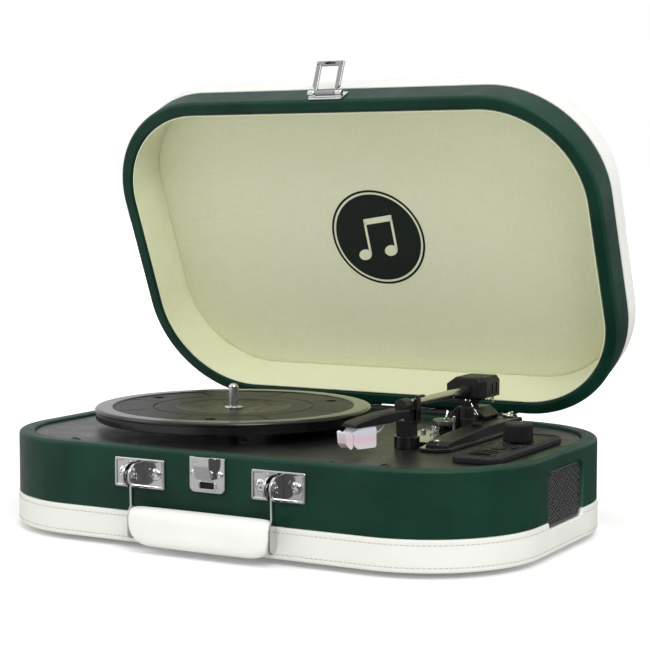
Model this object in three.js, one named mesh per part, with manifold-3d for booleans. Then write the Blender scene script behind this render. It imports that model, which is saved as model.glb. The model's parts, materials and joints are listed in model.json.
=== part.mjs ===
// A suitcase record player: a wrapped case with a hinged lid, a belt-driven platter and a tonearm.
// Millimetres, +X right, -Y front, +Z up. Every separate piece is one named mesh.
// The lid is modelled open, as it stands in use. The pieces are drawn about the middle of the case's
// footprint, and the whole is then moved so that its origin is the middle of the open player's box, on the floor.

import * as THREE from 'three';
import { mergeVertices } from 'three/addons/utils/BufferGeometryUtils.js';
import Module from 'manifold-3d';

const wasm = await Module();
wasm.setup();

// ---- Driving dimensions ----

const WIDTH = 390;
const DEPTH = 247;
const CORNER_R = 80.5;
const WALL = 11;
const GAP = 0.3;

const FOOT_H = 4;
const BAND_TOP = 24.8;
const BAND_PROUD = 0.6;
const RIM_Z = 67.3;
const DECK_TOP = 65.4;
const DECK_T = 5;

const LID_OPEN_DEG = 66.75;
const LID_GAP = 0.4;
const LID_WALL_H = 22.2;
const LID_TOTAL_H = 42.6;
const LID_ROOF_T = 2.9;
const LINER_DEPTH = 37.4;
const LINER_T = 1;

const HINGE = { x: 56, y: DEPTH / 2 + 3.5, z: RIM_Z + 0.2, barrelR: 2.6, pinR: 1.2 };
const HINGE_LEAF = { halfWidth: 50, knuckle: 17, height: 12 };
const GRILLE = { y: 1.5, width: 60, low: 20, high: 57, recess: 1.6 };

const PLATTER = { x: -60.7, y: 4, r: 98.8, top: 81.2, rim: 8.6, ringR: 70, holeR: 4, holeAt: 75 };
const SPINDLE = { r: 3.55, top: 96.6 };
const PULLEY = { r: 5, fromPlatter: 80, angle: 135 };
const BELT = { t: 0.8, clearance: 0.6, low: 70.5, high: 74.5 };

const PIVOT = { x: 97.3, y: 65, z: 95.1 };
const TUBE_R = 2.75;
const HEAD = { y: -39, yaw: 22, width: 13, length: 47 };
const REST = { x: 94.5, y: -28.6 };
const CUE = { x: 89, y: 41, r: 8.2 };
const RAIL = { x: 104, y: 46 };

const PANEL = { left: 144, right: 176, front: -70, back: 46, top: 70.4, r: 8 };
const KNOB = { x: 160.7, y: 2, r: 10, h: 12.5 };

const BRACKET = { x: 52.7, low: 40.7, high: 60.5, width: 39.5 };
const HANDLE = { y: -132.5, z: 50.3, cheekR: 8.2, cheekT: 2 };
const STRAP = { x: 53.2, t: 1.8, eyeR: 3.6, neckHalf: 1.7, endHalf: 5.6 };
const GRIP = { y: -132.6, z: 17.8, depth: 15.4, height: 27, r: 7 };
const CATCH = { width: 27, low: 42, high: 65, hookWidth: 12.4, hookLow: 51, hookHigh: 66, reach: 8.7 };
const HASP = { y: -4, z: 3.6, openDeg: 134.4, width: 22, length: 24.4, t: 1.8 };

const PLATE_TOP = 67.9;
// How far the middle of the open player, from the grip to the back of the lid, lies behind the case's middle.
const MIDDLE_Y = 12.44;
const FRONT = -DEPTH / 2;
const REAR = DEPTH / 2;
const DEG = Math.PI / 180;

// ---- Finishes ----

function finish(color, roughness, metalness = 0) {
  return new THREE.MeshStandardMaterial({ color, roughness, metalness });
}

const GREEN = finish(0x1e4636, 0.5);
const WHITE = finish(0xf3f2ea, 0.55);
const CREAM = finish(0xe3e3c2, 0.9);
const BLACK = finish(0x17171a, 0.45);
const SOFT_BLACK = finish(0x222225, 0.7);
const CHROME = finish(0xd8dadc, 0.15, 1);
const STEEL = finish(0x9a9a9c, 0.35, 1);
const TUBE_METAL = finish(0xcfccb0, 0.3, 0.8);
const RUBBER = finish(0x151515, 0.9);
const CIRCUIT = finish(0x1d5a35, 0.6);
const SHELL_WHITE = finish(0xeceef4, 0.3);

// ---- Making solids ----

/** A named piece of the player. */
function piece(name, geometry, material) {
  const mesh = new THREE.Mesh(geometry, material);
  mesh.name = name;
  return mesh;
}

/** A geometry as a solid for joining and cutting, without the triangles that collapse on a turning axis. */
function solid(geometry) {
  const bare = geometry.clone();
  bare.deleteAttribute('normal');
  bare.deleteAttribute('uv');
  const merged = mergeVertices(bare, 1e-4);
  const index = merged.index.array;
  const kept = [];
  for (let i = 0; i < index.length; i += 3) {
    const [a, b, c] = [index[i], index[i + 1], index[i + 2]];
    if (a !== b && b !== c && c !== a) kept.push(a, b, c);
  }
  const vertProperties = new Float32Array(merged.attributes.position.array);
  return new wasm.Manifold(new wasm.Mesh({ numProp: 3, vertProperties, triVerts: new Uint32Array(kept) }));
}

function geometryOf(manifold) {
  const mesh = manifold.getMesh();
  const geometry = new THREE.BufferGeometry();
  geometry.setAttribute('position', new THREE.BufferAttribute(new Float32Array(mesh.vertProperties), 3));
  geometry.setIndex(new THREE.BufferAttribute(new Uint32Array(mesh.triVerts), 1));
  return geometry;
}

function join(...geometries) {
  return geometryOf(geometries.map(solid).reduce((whole, next) => whole.add(next)));
}

function cut(geometry, ...tools) {
  return geometryOf(tools.map(solid).reduce((whole, tool) => whole.subtract(tool), solid(geometry)));
}

/** A box given by its low and high corners. */
function box([x0, y0, z0], [x1, y1, z1]) {
  const geometry = new THREE.BoxGeometry(x1 - x0, y1 - y0, z1 - z0);
  return geometry.translate((x0 + x1) / 2, (y0 + y1) / 2, (z0 + z1) / 2);
}

/** A rounded rectangle centred on the origin. */
function roundedRectangle(width, depth, r) {
  const [x, y] = [width / 2 - r, depth / 2 - r];
  const shape = new THREE.Shape();
  shape.absarc(x, y, r, 0, Math.PI / 2);
  shape.absarc(-x, y, r, Math.PI / 2, Math.PI);
  shape.absarc(-x, -y, r, Math.PI, 1.5 * Math.PI);
  shape.absarc(x, -y, r, 1.5 * Math.PI, 2 * Math.PI);
  return shape;
}

function polygon(points) {
  return new THREE.Shape(points.map(([x, y]) => new THREE.Vector2(x, y)));
}

/** A plan outline raised from one height to another. */
function raised(shape, low, high, curveSegments = 3) {
  const depth = high - low;
  const geometry = new THREE.ExtrudeGeometry(shape, { depth, bevelEnabled: false, curveSegments });
  return geometry.translate(0, 0, low);
}

/** A side outline, drawn as (y, z), carried along X from one place to another. */
function sideways(shape, low, high, curveSegments = 3) {
  const depth = high - low;
  const geometry = new THREE.ExtrudeGeometry(shape, { depth, bevelEnabled: false, curveSegments });
  geometry.applyMatrix4(new THREE.Matrix4().set(0, 0, 1, 0, 1, 0, 0, 0, 0, 1, 0, 0, 0, 0, 0, 1));
  return geometry.translate(low, 0, 0);
}

/** A turned piece about Z. The profile's [radius, height] points run up the outside. */
function turned(profile, segments = 24) {
  const points = profile.map(([r, h]) => new THREE.Vector2(r, h));
  return new THREE.LatheGeometry(points, segments).rotateX(Math.PI / 2);
}

/** An upright rod. */
function rodZ(x, y, r, low, high, segments = 16) {
  const geometry = new THREE.CylinderGeometry(r, r, high - low, segments).rotateX(Math.PI / 2);
  return geometry.translate(x, y, (low + high) / 2);
}

/** A rod lying along X. */
function rodX(y, z, r, low, high, segments = 16) {
  const geometry = new THREE.CylinderGeometry(r, r, high - low, segments).rotateZ(Math.PI / 2);
  return geometry.translate((low + high) / 2, y, z);
}

/** A rod lying along Y. */
function rodY(x, z, r, low, high, segments = 16) {
  return new THREE.CylinderGeometry(r, r, high - low, segments).translate(x, (low + high) / 2, z);
}

// ---- The case ----

const CASE_SEGMENTS = 5;

/** The case's plan outline, inset from its outside by a distance. */
function caseOutline(inset) {
  return roundedRectangle(WIDTH - 2 * inset, DEPTH - 2 * inset, CORNER_R - inset);
}

/** A band of the case's outline between two insets and two heights. */
function caseRing(outerInset, innerInset, low, high) {
  const shape = caseOutline(outerInset);
  shape.holes.push(caseOutline(innerInset));
  return raised(shape, low, high, CASE_SEGMENTS);
}

const SOCKET_PLATE = { halfWidth: 32, low: 32, high: 52 };

/** The openings through the side walls for the grilles. */
function grilleWindows() {
  const reach = WIDTH;
  const half = GRILLE.width / 2;
  return box([-reach, GRILLE.y - half, GRILLE.low], [reach, GRILLE.y + half, GRILLE.high]);
}

function caseWall() {
  const ring = caseRing(0, WALL, BAND_TOP + GAP, RIM_Z);
  const { halfWidth, low, high } = SOCKET_PLATE;
  const socketWindow = box([-halfWidth, REAR - 2 * WALL, low], [halfWidth, REAR + WALL, high]);
  return piece('case_wall', cut(ring, grilleWindows(), socketWindow), GREEN);
}

function baseBand() {
  const ring = caseRing(-BAND_PROUD, WALL, FOOT_H, BAND_TOP);
  return piece('base_band', cut(ring, grilleWindows()), WHITE);
}

function bottomPanel() {
  return piece('bottom_panel', raised(caseOutline(WALL + GAP), 5, 9, CASE_SEGMENTS), SOFT_BLACK);
}

function feet() {
  const [x, y] = [138, 82];
  const corners = { front_left: [-x, -y], front_right: [x, -y], rear_left: [-x, y], rear_right: [x, y] };
  const profile = [[0, 0], [8, 0], [9.5, 1.2], [9.5, 4.7], [0, 4.7]];
  return Object.entries(corners).map(([corner, [footX, footY]]) =>
    piece(`foot_${corner}`, turned(profile, 16).translate(footX, footY, 0), RUBBER));
}

const DECK_SCREWS = {
  front_left: [-120, -105],
  front_right: [117, -105],
  rear_left: [-120, 105],
  rear_right: [117, 105],
};

function pulleyCentre() {
  const angle = PULLEY.angle * DEG;
  return [PLATTER.x + PULLEY.fromPlatter * Math.cos(angle), PLATTER.y + PULLEY.fromPlatter * Math.sin(angle)];
}

function deckBoard() {
  const board = raised(caseOutline(WALL + GAP), DECK_TOP - DECK_T, DECK_TOP, CASE_SEGMENTS);
  const [low, high] = [DECK_TOP - 2 * DECK_T, DECK_TOP + DECK_T];
  const holes = Object.values(DECK_SCREWS).map(([x, y]) => rodZ(x, y, 2.2, low, high, 8));
  const [pulleyX, pulleyY] = pulleyCentre();
  holes.push(rodZ(pulleyX, pulleyY, 3, low, high, 10));
  holes.push(rodZ(PLATTER.x, PLATTER.y, SPINDLE.r + GAP, low, high));
  holes.push(rodZ(RAIL.x, RAIL.y, 3, low, high, 10));
  holes.push(box([PANEL.left + 5, PANEL.front + 10, low], [PANEL.right - 5, PANEL.back - 10, high]));
  return piece('deck_board', cut(board, ...holes), SOFT_BLACK);
}

function deckScrews() {
  const headLow = DECK_TOP + GAP;
  const shank = [[0, 54], [1.8, 54], [1.8, headLow]];
  const profile = [...shank, [4, headLow], [3.6, headLow + 0.9], [2.2, headLow + 1.3], [0, headLow + 1.3]];
  return Object.entries(DECK_SCREWS).map(([corner, [x, y]]) =>
    piece(`deck_screw_${corner}`, turned(profile, 8).translate(x, y, 0), STEEL));
}

function rearSocketPlate() {
  const { halfWidth, low, high } = SOCKET_PLATE;
  const y = [REAR - 5, REAR - 2];
  const plate = box([-halfWidth + GAP, y[0], low + GAP], [halfWidth - GAP, y[1], high - GAP]);
  const middle = (low + high) / 2;
  const sockets = [[-20, 4], [-6, 4], [16, 3.2]];
  const collars = sockets.map(([x, r]) => rodY(x, middle, r, REAR - 14, REAR - 0.4, 12));
  const bores = sockets.map(([x, r]) => rodY(x, middle, r / 2, REAR - 9, REAR + 1, 8));
  return piece('rear_socket_plate', cut(join(plate, ...collars), ...bores), BLACK);
}

// ---- Speakers ----

function speaker(side) {
  const name = side > 0 ? 'right' : 'left';
  const half = GRILLE.width / 2 - GAP;
  const face = WIDTH / 2 - GRILLE.recess;
  const middle = (GRILLE.low + GRILLE.high) / 2;
  const grille = sideways(roundedRectangle(2 * half, GRILLE.high - GRILLE.low - 2 * GAP, 2), 0, 1.4);
  grille.translate(0, GRILLE.y, middle);
  const coneProfile = [
    [0, 0], [12, 0], [12, 9], [8, 9], [21, 20], [23, 20], [23, 22], [18, 22], [6, 14], [0, 14],
  ];
  const driver = turned(coneProfile, 16);
  driver.rotateY(Math.PI / 2).translate(WIDTH / 2 - WALL - 22.4, GRILLE.y, 35);
  if (side < 0) {
    driver.rotateZ(Math.PI).translate(0, 2 * GRILLE.y, 0);
    grille.translate(-face, 0, 0);
  } else {
    grille.translate(face - 1.4, 0, 0);
  }
  return [
    piece(`speaker_grille_${name}`, grille, BLACK),
    piece(`speaker_driver_${name}`, driver, SOFT_BLACK),
  ];
}

// ---- Drive ----

function platter() {
  const { r, top, rim, ringR, holeR, holeAt } = PLATTER;
  const bottom = top - rim;
  const bore = SPINDLE.r + 0.05;
  const profile = [
    [bore, 73], [9, 73], [12, 76], [ringR - 3, 76], [ringR - 3, 69.5], [ringR, 69.5], [ringR, 76.4],
    [r - 4, 76.4], [r - 4, bottom], [r, bottom], [r, top - 2], [r - 1.6, top], [r - 12.4, top],
    [r - 13.4, top - 0.8], [41, top - 0.8], [14, top - 2.7], [bore, top - 2.7], [bore, 73],
  ];
  const holes = [50, 170, 290].map((angle) =>
    rodZ(holeAt * Math.cos(angle * DEG), holeAt * Math.sin(angle * DEG), holeR, bottom, top + 1, 8));
  const disc = cut(turned(profile, 48), ...holes);
  return piece('platter', disc.translate(PLATTER.x, PLATTER.y, 0), BLACK);
}

function spindle() {
  const { r, top } = SPINDLE;
  const tip = [[r, top - 2], [r - 1, top - 0.6], [r - 2.2, top], [0, top]];
  const profile = [[0, 44], [12, 44], [12, 47], [r, 47], ...tip];
  return piece('spindle', turned(profile, 20).translate(PLATTER.x, PLATTER.y, 0), STEEL);
}

function spindleClip() {
  const low = PLATTER.top - 2.7 + GAP;
  const inner = SPINDLE.r + 0.2;
  const profile = [[inner, low], [6.6, low], [6.6, low + 0.9], [inner, low + 0.9], [inner, low]];
  return piece('spindle_clip', turned(profile, 20).translate(PLATTER.x, PLATTER.y, 0), STEEL);
}

function motor() {
  const [x, y] = pulleyCentre();
  const can = turned([[0, 34], [14, 34], [16, 36], [16, 58], [14, 60.1], [0, 60.1]], 24).translate(x, y, 0);
  return piece('motor', cut(can, rodZ(x, y, 1.4, 50, 62, 10)), STEEL);
}

function motorPulley() {
  const [x, y] = pulleyCentre();
  const { r } = PULLEY;
  const shaft = [[0, 51], [1.1, 51], [1.1, 68.5]];
  const profile = [...shaft, [r + 1.5, 68.5], [r + 1.5, 69.5], [r, 70], [r, 75], [0, 75]];
  return piece('motor_pulley', turned(profile, 20).translate(x, y, 0), STEEL);
}

/** The loop that a belt makes round the platter's ring and the pulley, at a clearance from both. */
function beltOutline(clearance) {
  const [big, small] = [PLATTER.ringR + clearance, PULLEY.r + clearance];
  const spread = Math.acos((big - small) / PULLEY.fromPlatter);
  const shape = new THREE.Shape();
  shape.absarc(0, 0, big, spread, 2 * Math.PI - spread);
  shape.absarc(PULLEY.fromPlatter, 0, small, -spread, spread);
  return shape;
}

function driveBelt() {
  const shape = beltOutline(BELT.clearance + BELT.t);
  shape.holes.push(beltOutline(BELT.clearance));
  const loop = raised(shape, BELT.low, BELT.high, 13).rotateZ(PULLEY.angle * DEG);
  return piece('drive_belt', loop.translate(PLATTER.x, PLATTER.y, 0), RUBBER);
}

// ---- Arm mechanism ----

function mechanismPlate() {
  const bottom = DECK_TOP + GAP;
  const outline = polygon([
    [109, -40], [122, -40], [128, -34], [128, 96], [72, 96], [72, 12], [80, 4], [84, -15], [103, -15],
  ]);
  const sheet = raised(outline, bottom, PLATE_TOP);
  const railSide = polygon([
    [-33, 66], [92, 66], [92, 74.2], [35, 74.8], [-2, 73.2], [-28, 71.2], [-33, 69.4],
  ]);
  const rail = sideways(railSide, 110, 126);
  const boss = rodZ(CUE.x, CUE.y, 3.4, 66, 71.8, 12);
  const boreForRail = rodZ(RAIL.x, RAIL.y, 3, 60, 72, 10);
  return piece('mechanism_plate', cut(join(sheet, rail, boss), boreForRail), BLACK);
}

function armTower() {
  const low = PLATE_TOP + GAP;
  const section = polygon([
    [84, low], [109.6, low], [109.6, 76], [114, 76.4], [106, 83], [90, 83], [84, 75],
  ]);
  const block = new THREE.ExtrudeGeometry(section, { depth: 24, bevelEnabled: false });
  block.rotateX(Math.PI / 2).translate(0, 81, 0);
  const liftBlock = join(rodZ(RAIL.x, RAIL.y, 5.2, low, 85), box([100, RAIL.y, low], [108, 60, 78]));
  const post = rodZ(PIVOT.x, PIVOT.y, 6, 82, 86);
  const boreForRail = rodZ(RAIL.x, RAIL.y, 2.9, 60, 90, 10);
  return piece('arm_tower', cut(join(block, liftBlock, post), boreForRail), BLACK);
}

function armRest() {
  const base = turned([[0, 65.7], [8.5, 65.7], [8.5, 73], [7.7, 73.8], [0, 73.8]], 20);
  base.translate(REST.x, REST.y, 0);
  const column = box([88.4, REST.y - 4.4, 73], [100.4, REST.y + 4.4, 84]);
  const neck = box([93.4, REST.y - 2.8, 82], [103.4, REST.y + 2.8, 91.9]);
  const upright = box([100.5, REST.y - 2.8, 84], [103.4, REST.y + 2.8, 98.6]);
  return piece('arm_rest', join(base, column, neck, upright), BLACK);
}

function armClip() {
  const [x, y] = [101.9, REST.y];
  const pivotDisc = rodZ(x, y, 1.6, 98.9, 100.5, 12);
  const bar = box([x - 1.5, y, 98.9], [x + 1.5, y + 9, 100.5]);
  return piece('arm_clip', join(pivotDisc, bar), BLACK);
}

function cueLever() {
  const { x, y, r } = CUE;
  const disc = turned([[0, 72.1], [r, 72.1], [r, 75.4], [r - 1, 76.3], [0, 76.3]], 24).translate(x, y, 0);
  const stem = box([x - 1.2, y + 1, 75.8], [x + 1.2, y + 6, 79.2]);
  const tip = box([x - 1.4, y + 3, 78.4], [x + 1.4, y + 6.5, 82.2]);
  return piece('cue_lever', join(disc, stem, tip), STEEL);
}

function cueRail() {
  const post = rodZ(RAIL.x, RAIL.y, 2.6, 58, 89, 12);
  const bar = box([80, RAIL.y - 2, 87], [RAIL.x, RAIL.y + 2, 88.8]);
  const ridge = box([80, RAIL.y - 2, 88.4], [RAIL.x - 2.8, RAIL.y + 2, 90.2]);
  return piece('cue_rail', join(post, bar, ridge), BLACK);
}

function armYoke() {
  const base = rodZ(PIVOT.x, PIVOT.y, 8, 86.3, 88.7, 20);
  const ears = [-1, 1].map((side) => {
    const x = PIVOT.x + side * 9;
    return box([x - 1.5, PIVOT.y - 3.4, 88], [x + 1.5, PIVOT.y + 3.4, 98.6]);
  });
  const web = box([PIVOT.x - 10, PIVOT.y - 3.4, 88], [PIVOT.x + 10, PIVOT.y + 3.4, 89.6]);
  const bore = rodX(PIVOT.y, PIVOT.z, 1.6, PIVOT.x - 14, PIVOT.x + 14, 12);
  return piece('arm_yoke', cut(join(base, web, ...ears), bore), STEEL);
}

function pivotBar() {
  const reach = 13.6;
  const profile = [
    [0, -reach], [1.5, -reach], [1.5, -5], [2.6, -5], [2.6, 5], [1.5, 5], [1.5, reach], [0, reach],
  ];
  const bar = turned(profile, 12).rotateY(Math.PI / 2);
  return piece('arm_pivot_bar', bar.translate(PIVOT.x, PIVOT.y, PIVOT.z), STEEL);
}

function armTube() {
  const profile = [[1.9, -58], [TUBE_R, -58], [TUBE_R, 40], [1.9, 40], [1.9, -58]];
  const tube = turned(profile, 16).rotateX(Math.PI / 2);
  return piece('arm_tube', tube.translate(PIVOT.x, 0, PIVOT.z), TUBE_METAL);
}

/** The chamfered cover over the pivot, open underneath, with a hole for the tube and cheeks for the bar. */
function armHousing() {
  const [left, right, front, back, low, high] = [83, 112, 56, 84, 89.8, 104.2];
  const outline = polygon([
    [left, low], [right, low], [right, high - 3], [right - 2.5, high], [left + 7, high], [left, high - 5],
  ]);
  const block = new THREE.ExtrudeGeometry(outline, { depth: back - front, bevelEnabled: false });
  block.rotateX(Math.PI / 2).translate(0, back, 0);
  const corner = polygon([[right - 5, front - 1], [right + 1, front - 1], [right + 1, front + 5]]);
  const cornerCut = raised(corner, low - 1, high + 1);
  const hollow = box([PIVOT.x - 11.4, front + 3, low - 1], [PIVOT.x + 11.4, back - 8, 101.6]);
  const tubeHole = rodY(PIVOT.x, PIVOT.z, TUBE_R + GAP, front - 1, front + 5);
  const bore = rodX(PIVOT.y, PIVOT.z, 1.7, PIVOT.x - 13.9, PIVOT.x + 13.9, 12);
  return piece('arm_housing', cut(block, cornerCut, hollow, tubeHole, bore), BLACK);
}

/** The headshell and what hangs from it, in a frame whose -Y runs forwards along the head. */
function headshell() {
  const tip = -HEAD.length;
  const profile = polygon([
    [-1, 89.2], [-6, 87], [-16, 85.4], [tip + 2, 84], [tip, 86], [tip + 2, 87.8], [-35, 89.8], [-25, 91.6],
    [-16, 92.6], [-8, 93], [-1, 93.2],
  ]);
  const plate = sideways(profile, -HEAD.width / 2, HEAD.width / 2);
  const collar = rodY(0, PIVOT.z, 4.4, -5, 5).rotateZ(HEAD.yaw * DEG);
  const bore = rodY(0, PIVOT.z, TUBE_R + GAP, -2, 6).rotateZ(HEAD.yaw * DEG);
  return piece('headshell', cut(join(plate, collar), bore), BLACK);
}

function cartridge() {
  const front = -HEAD.length + 1;
  const profile = polygon([
    [front + 17, 71.4], [front + 17, 83.4], [front + 3, 83.4],
    [front, 80.5], [front, 73.5], [front + 3, 71.4],
  ]);
  return piece('cartridge', sideways(profile, -5.6, 5.6), SHELL_WHITE);
}

function stylus() {
  const front = -HEAD.length + 0.6;
  const profile = polygon([
    [front, 71], [front, 76], [front - 4, 80.5], [front - 6, 80.5], [front - 5, 73], [front - 1.5, 69.4],
  ]);
  return piece('stylus', sideways(profile, -4.4, 4.4), SHELL_WHITE);
}

function head() {
  const group = new THREE.Group();
  group.position.set(PIVOT.x, HEAD.y, 0);
  group.rotation.z = -HEAD.yaw * DEG;
  group.add(headshell(), cartridge(), stylus());
  return group;
}

// ---- Switches and controls ----

const SPEED = { x: 118, y: 84 };
const AUTOSTOP = { x: 118, y: 30 };

function speedLever() {
  const { x, y } = SPEED;
  const disc = rodZ(x, y, 4, 74.8, 76.4, 16);
  const lever = box([x - 1.2, y + 1, 75.2], [x + 1.2, y + 9, 77.8]);
  return piece('speed_lever', join(disc, lever), CHROME);
}

function autostopSwitch() {
  const { x, y } = AUTOSTOP;
  return piece('autostop_switch', box([x - 2.5, y - 3.5, 75], [x + 2.5, y + 3.5, 77.2]), SOFT_BLACK);
}

function controlPanel() {
  const [x, y] = [(PANEL.left + PANEL.right) / 2, (PANEL.front + PANEL.back) / 2];
  const [width, depth] = [PANEL.right - PANEL.left, PANEL.back - PANEL.front];
  const bottom = DECK_TOP + GAP;
  const foot = raised(roundedRectangle(width, depth, PANEL.r), bottom, PANEL.top - 1.4);
  const face = raised(roundedRectangle(width - 3, depth - 3, PANEL.r - 1.5), PANEL.top - 1.6, PANEL.top);
  const plate = join(foot, face).translate(x, y, 0);
  const shaftHole = rodZ(KNOB.x, KNOB.y, 3.6, bottom - 1, PANEL.top + 1);
  const modeSlot = box([152, -62, PANEL.top - 1.2], [168, -54, PANEL.top + 1]);
  const jackHole = rodZ(160, -28, 2.2, bottom + 1, PANEL.top + 1, 12);
  const portHole = box([151, -46, PANEL.top - 2.5], [166, -40, PANEL.top + 1]);
  return piece('control_panel', cut(plate, shaftHole, modeSlot, jackHole, portHole), SOFT_BLACK);
}

function modeSwitch() {
  return piece('mode_switch', box([157.5, -61, PANEL.top - 0.9], [162.5, -55, PANEL.top + 2]), BLACK);
}

function volumeKnob() {
  const low = PANEL.top + GAP;
  const { r, h } = KNOB;
  const profile = [
    [0, 53], [3, 53], [3, low], [r, low], [r, low + 2],
    [r - 0.6, low + h - 1.4], [r - 1.8, low + h], [0, low + h],
  ];
  return piece('volume_knob', turned(profile, 20).translate(KNOB.x, KNOB.y, 0), SOFT_BLACK);
}

function volumePot() {
  const can = rodZ(KNOB.x, KNOB.y, 8, 50.6, 59, 16);
  return piece('volume_pot', cut(can, rodZ(KNOB.x, KNOB.y, 3.4, 52.4, 61, 12)), STEEL);
}

function circuitBoard() {
  return piece('circuit_board', box([150, -56, 48.6], [170, 34, 50.2]), CIRCUIT);
}

// ---- Front hardware ----

function handleBracket(side) {
  const name = side > 0 ? 'right' : 'left';
  const middle = (BRACKET.low + BRACKET.high) / 2;
  const outline = roundedRectangle(BRACKET.width, BRACKET.high - BRACKET.low, 1.5);
  const plate = raised(outline, 0, 1.2, 2).rotateX(Math.PI / 2);
  plate.translate(side * BRACKET.x, FRONT - GAP, middle);
  const { y, z, cheekR, cheekT } = HANDLE;
  const cheekSide = new THREE.Shape();
  cheekSide.moveTo(FRONT - 1, z + cheekR);
  cheekSide.lineTo(FRONT - 1, z - cheekR);
  cheekSide.absarc(y + 1, z, cheekR, -Math.PI / 2, -1.5 * Math.PI, true);
  const arm = side * STRAP.x;
  const half = STRAP.t / 2 + 0.5;
  const starts = [arm - half - cheekT, arm + half];
  const cheeks = starts.map((start) => sideways(cheekSide, start, start + cheekT));
  const pin = rodX(y, z, 1.4, arm - half - 1, arm + half + 1, 12);
  return piece(`handle_bracket_${name}`, join(plate, ...cheeks, pin), CHROME);
}

function handleArm(side) {
  const name = side > 0 ? 'right' : 'left';
  const { y, z } = HANDLE;
  const { x, t, eyeR, neckHalf, endHalf } = STRAP;
  const outline = new THREE.Shape();
  outline.absarc(y, z, eyeR, -55 * DEG, 235 * DEG);
  outline.lineTo(y - neckHalf, GRIP.z + 13);
  outline.lineTo(GRIP.y - endHalf, GRIP.z + 7);
  outline.absarc(GRIP.y, GRIP.z - 4, endHalf, Math.PI, 2 * Math.PI);
  outline.lineTo(GRIP.y + endHalf, GRIP.z + 7);
  outline.lineTo(y + neckHalf, GRIP.z + 13);
  const strip = sideways(outline, side * x - t / 2, side * x + t / 2);
  const eye = rodX(y, z, 1.7, side * x - 3, side * x + 3, 12);
  return piece(`handle_arm_${name}`, cut(strip, eye), CHROME);
}

function handleGrip() {
  const half = STRAP.x - STRAP.t / 2 - GAP;
  const section = roundedRectangle(GRIP.depth, GRIP.height, GRIP.r);
  const grip = sideways(section, -half, half).translate(0, GRIP.y, GRIP.z);
  return piece('handle_grip', grip, WHITE);
}

function latchCatch() {
  const { width, low, high, hookWidth, hookLow, hookHigh, reach } = CATCH;
  const outline = roundedRectangle(width, high - low, 3.5);
  const plate = raised(outline, 0, 1.2, 2).rotateX(Math.PI / 2).translate(0, FRONT - GAP, (low + high) / 2);
  const slot = box([-5.5, FRONT - 3, 44.6], [5.5, FRONT + 1, 48.8]);
  const front = FRONT - reach;
  const hookSide = polygon([
    [FRONT - 1, hookLow], [FRONT - 1, hookHigh - 2], [front + 2.4, hookHigh],
    [front, hookHigh], [front, hookHigh - 6],
    [front + 3, hookLow],
  ]);
  const hook = sideways(hookSide, -hookWidth / 2, hookWidth / 2);
  return piece('latch_catch', join(cut(plate, slot), hook), CHROME);
}

// ---- The lid, built closed about its hinge axis and then turned open ----

const LID_LOW = RIM_Z + LID_GAP - HINGE.z;

function lidRing(outerInset, innerInset, low, high) {
  return caseRing(outerInset, innerInset, low, high).translate(0, -HINGE.y, 0);
}

function lidWall() {
  return piece('lid_wall', lidRing(0, WALL - LINER_T - GAP, LID_LOW, LID_LOW + LID_WALL_H), GREEN);
}

function lidCap() {
  const low = LID_LOW + LID_WALL_H + GAP;
  const high = LID_LOW + LID_TOTAL_H;
  const block = raised(caseOutline(-BAND_PROUD), low, high, CASE_SEGMENTS);
  const hollow = raised(caseOutline(WALL - LINER_T - GAP), low - 1, high - LID_ROOF_T, CASE_SEGMENTS);
  return piece('lid_cap', cut(block, hollow).translate(0, -HINGE.y, 0), WHITE);
}

function lidLiner() {
  const high = LID_LOW + LID_TOTAL_H - LID_ROOF_T - GAP;
  const block = raised(caseOutline(WALL - LINER_T), LID_LOW + 1, high, CASE_SEGMENTS);
  const hollow = raised(caseOutline(WALL), LID_LOW, LID_LOW + LINER_DEPTH, CASE_SEGMENTS);
  return piece('lid_liner', cut(block, hollow).translate(0, -HINGE.y, 0), CREAM);
}

/** One hinge leaf about the pin at the origin: a plate, its knuckles and the webs between them. */
function hingeLeaf(x, side, knuckles) {
  const wallY = REAR - HINGE.y + GAP;
  const { halfWidth, height } = HINGE_LEAF;
  const [near, far] = side > 0 ? [3.4, 3.4 + height] : [-3.2 - height, -3.2];
  const plate = box([x - halfWidth, wallY, near], [x + halfWidth, wallY + 1.2, far]);
  const solids = [plate];
  for (const [low, high] of knuckles) {
    solids.push(rodX(0, 0, HINGE.barrelR, x + low, x + high));
    const webEnds = side > 0 ? [0, near + 0.5] : [far - 0.5, 0];
    solids.push(box([x + low, wallY, webEnds[0]], [x + high, wallY + 1.6, webEnds[1]]));
  }
  const bore = rodX(0, 0, HINGE.pinR + GAP, x - halfWidth - 1, x + halfWidth + 1, 12);
  return cut(join(...solids), bore);
}

function caseHinge(side) {
  const name = side > 0 ? 'right' : 'left';
  const { knuckle, halfWidth } = HINGE_LEAF;
  const x = side * HINGE.x;
  const leaf = hingeLeaf(x, -1, [[-halfWidth, -knuckle], [knuckle, halfWidth]]);
  const pin = rodX(0, 0, HINGE.pinR, x - halfWidth - 0.8, x + halfWidth + 0.8, 12);
  const pieces = [piece(`hinge_leaf_case_${name}`, leaf, BLACK), piece(`hinge_pin_${name}`, pin, STEEL)];
  pieces.forEach((mesh) => mesh.position.set(0, HINGE.y, HINGE.z));
  return pieces;
}

function lidHingeLeaf(side) {
  const name = side > 0 ? 'right' : 'left';
  const reach = HINGE_LEAF.knuckle - GAP;
  return piece(`hinge_leaf_lid_${name}`, hingeLeaf(side * HINGE.x, 1, [[-reach, reach]]), BLACK);
}

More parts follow.
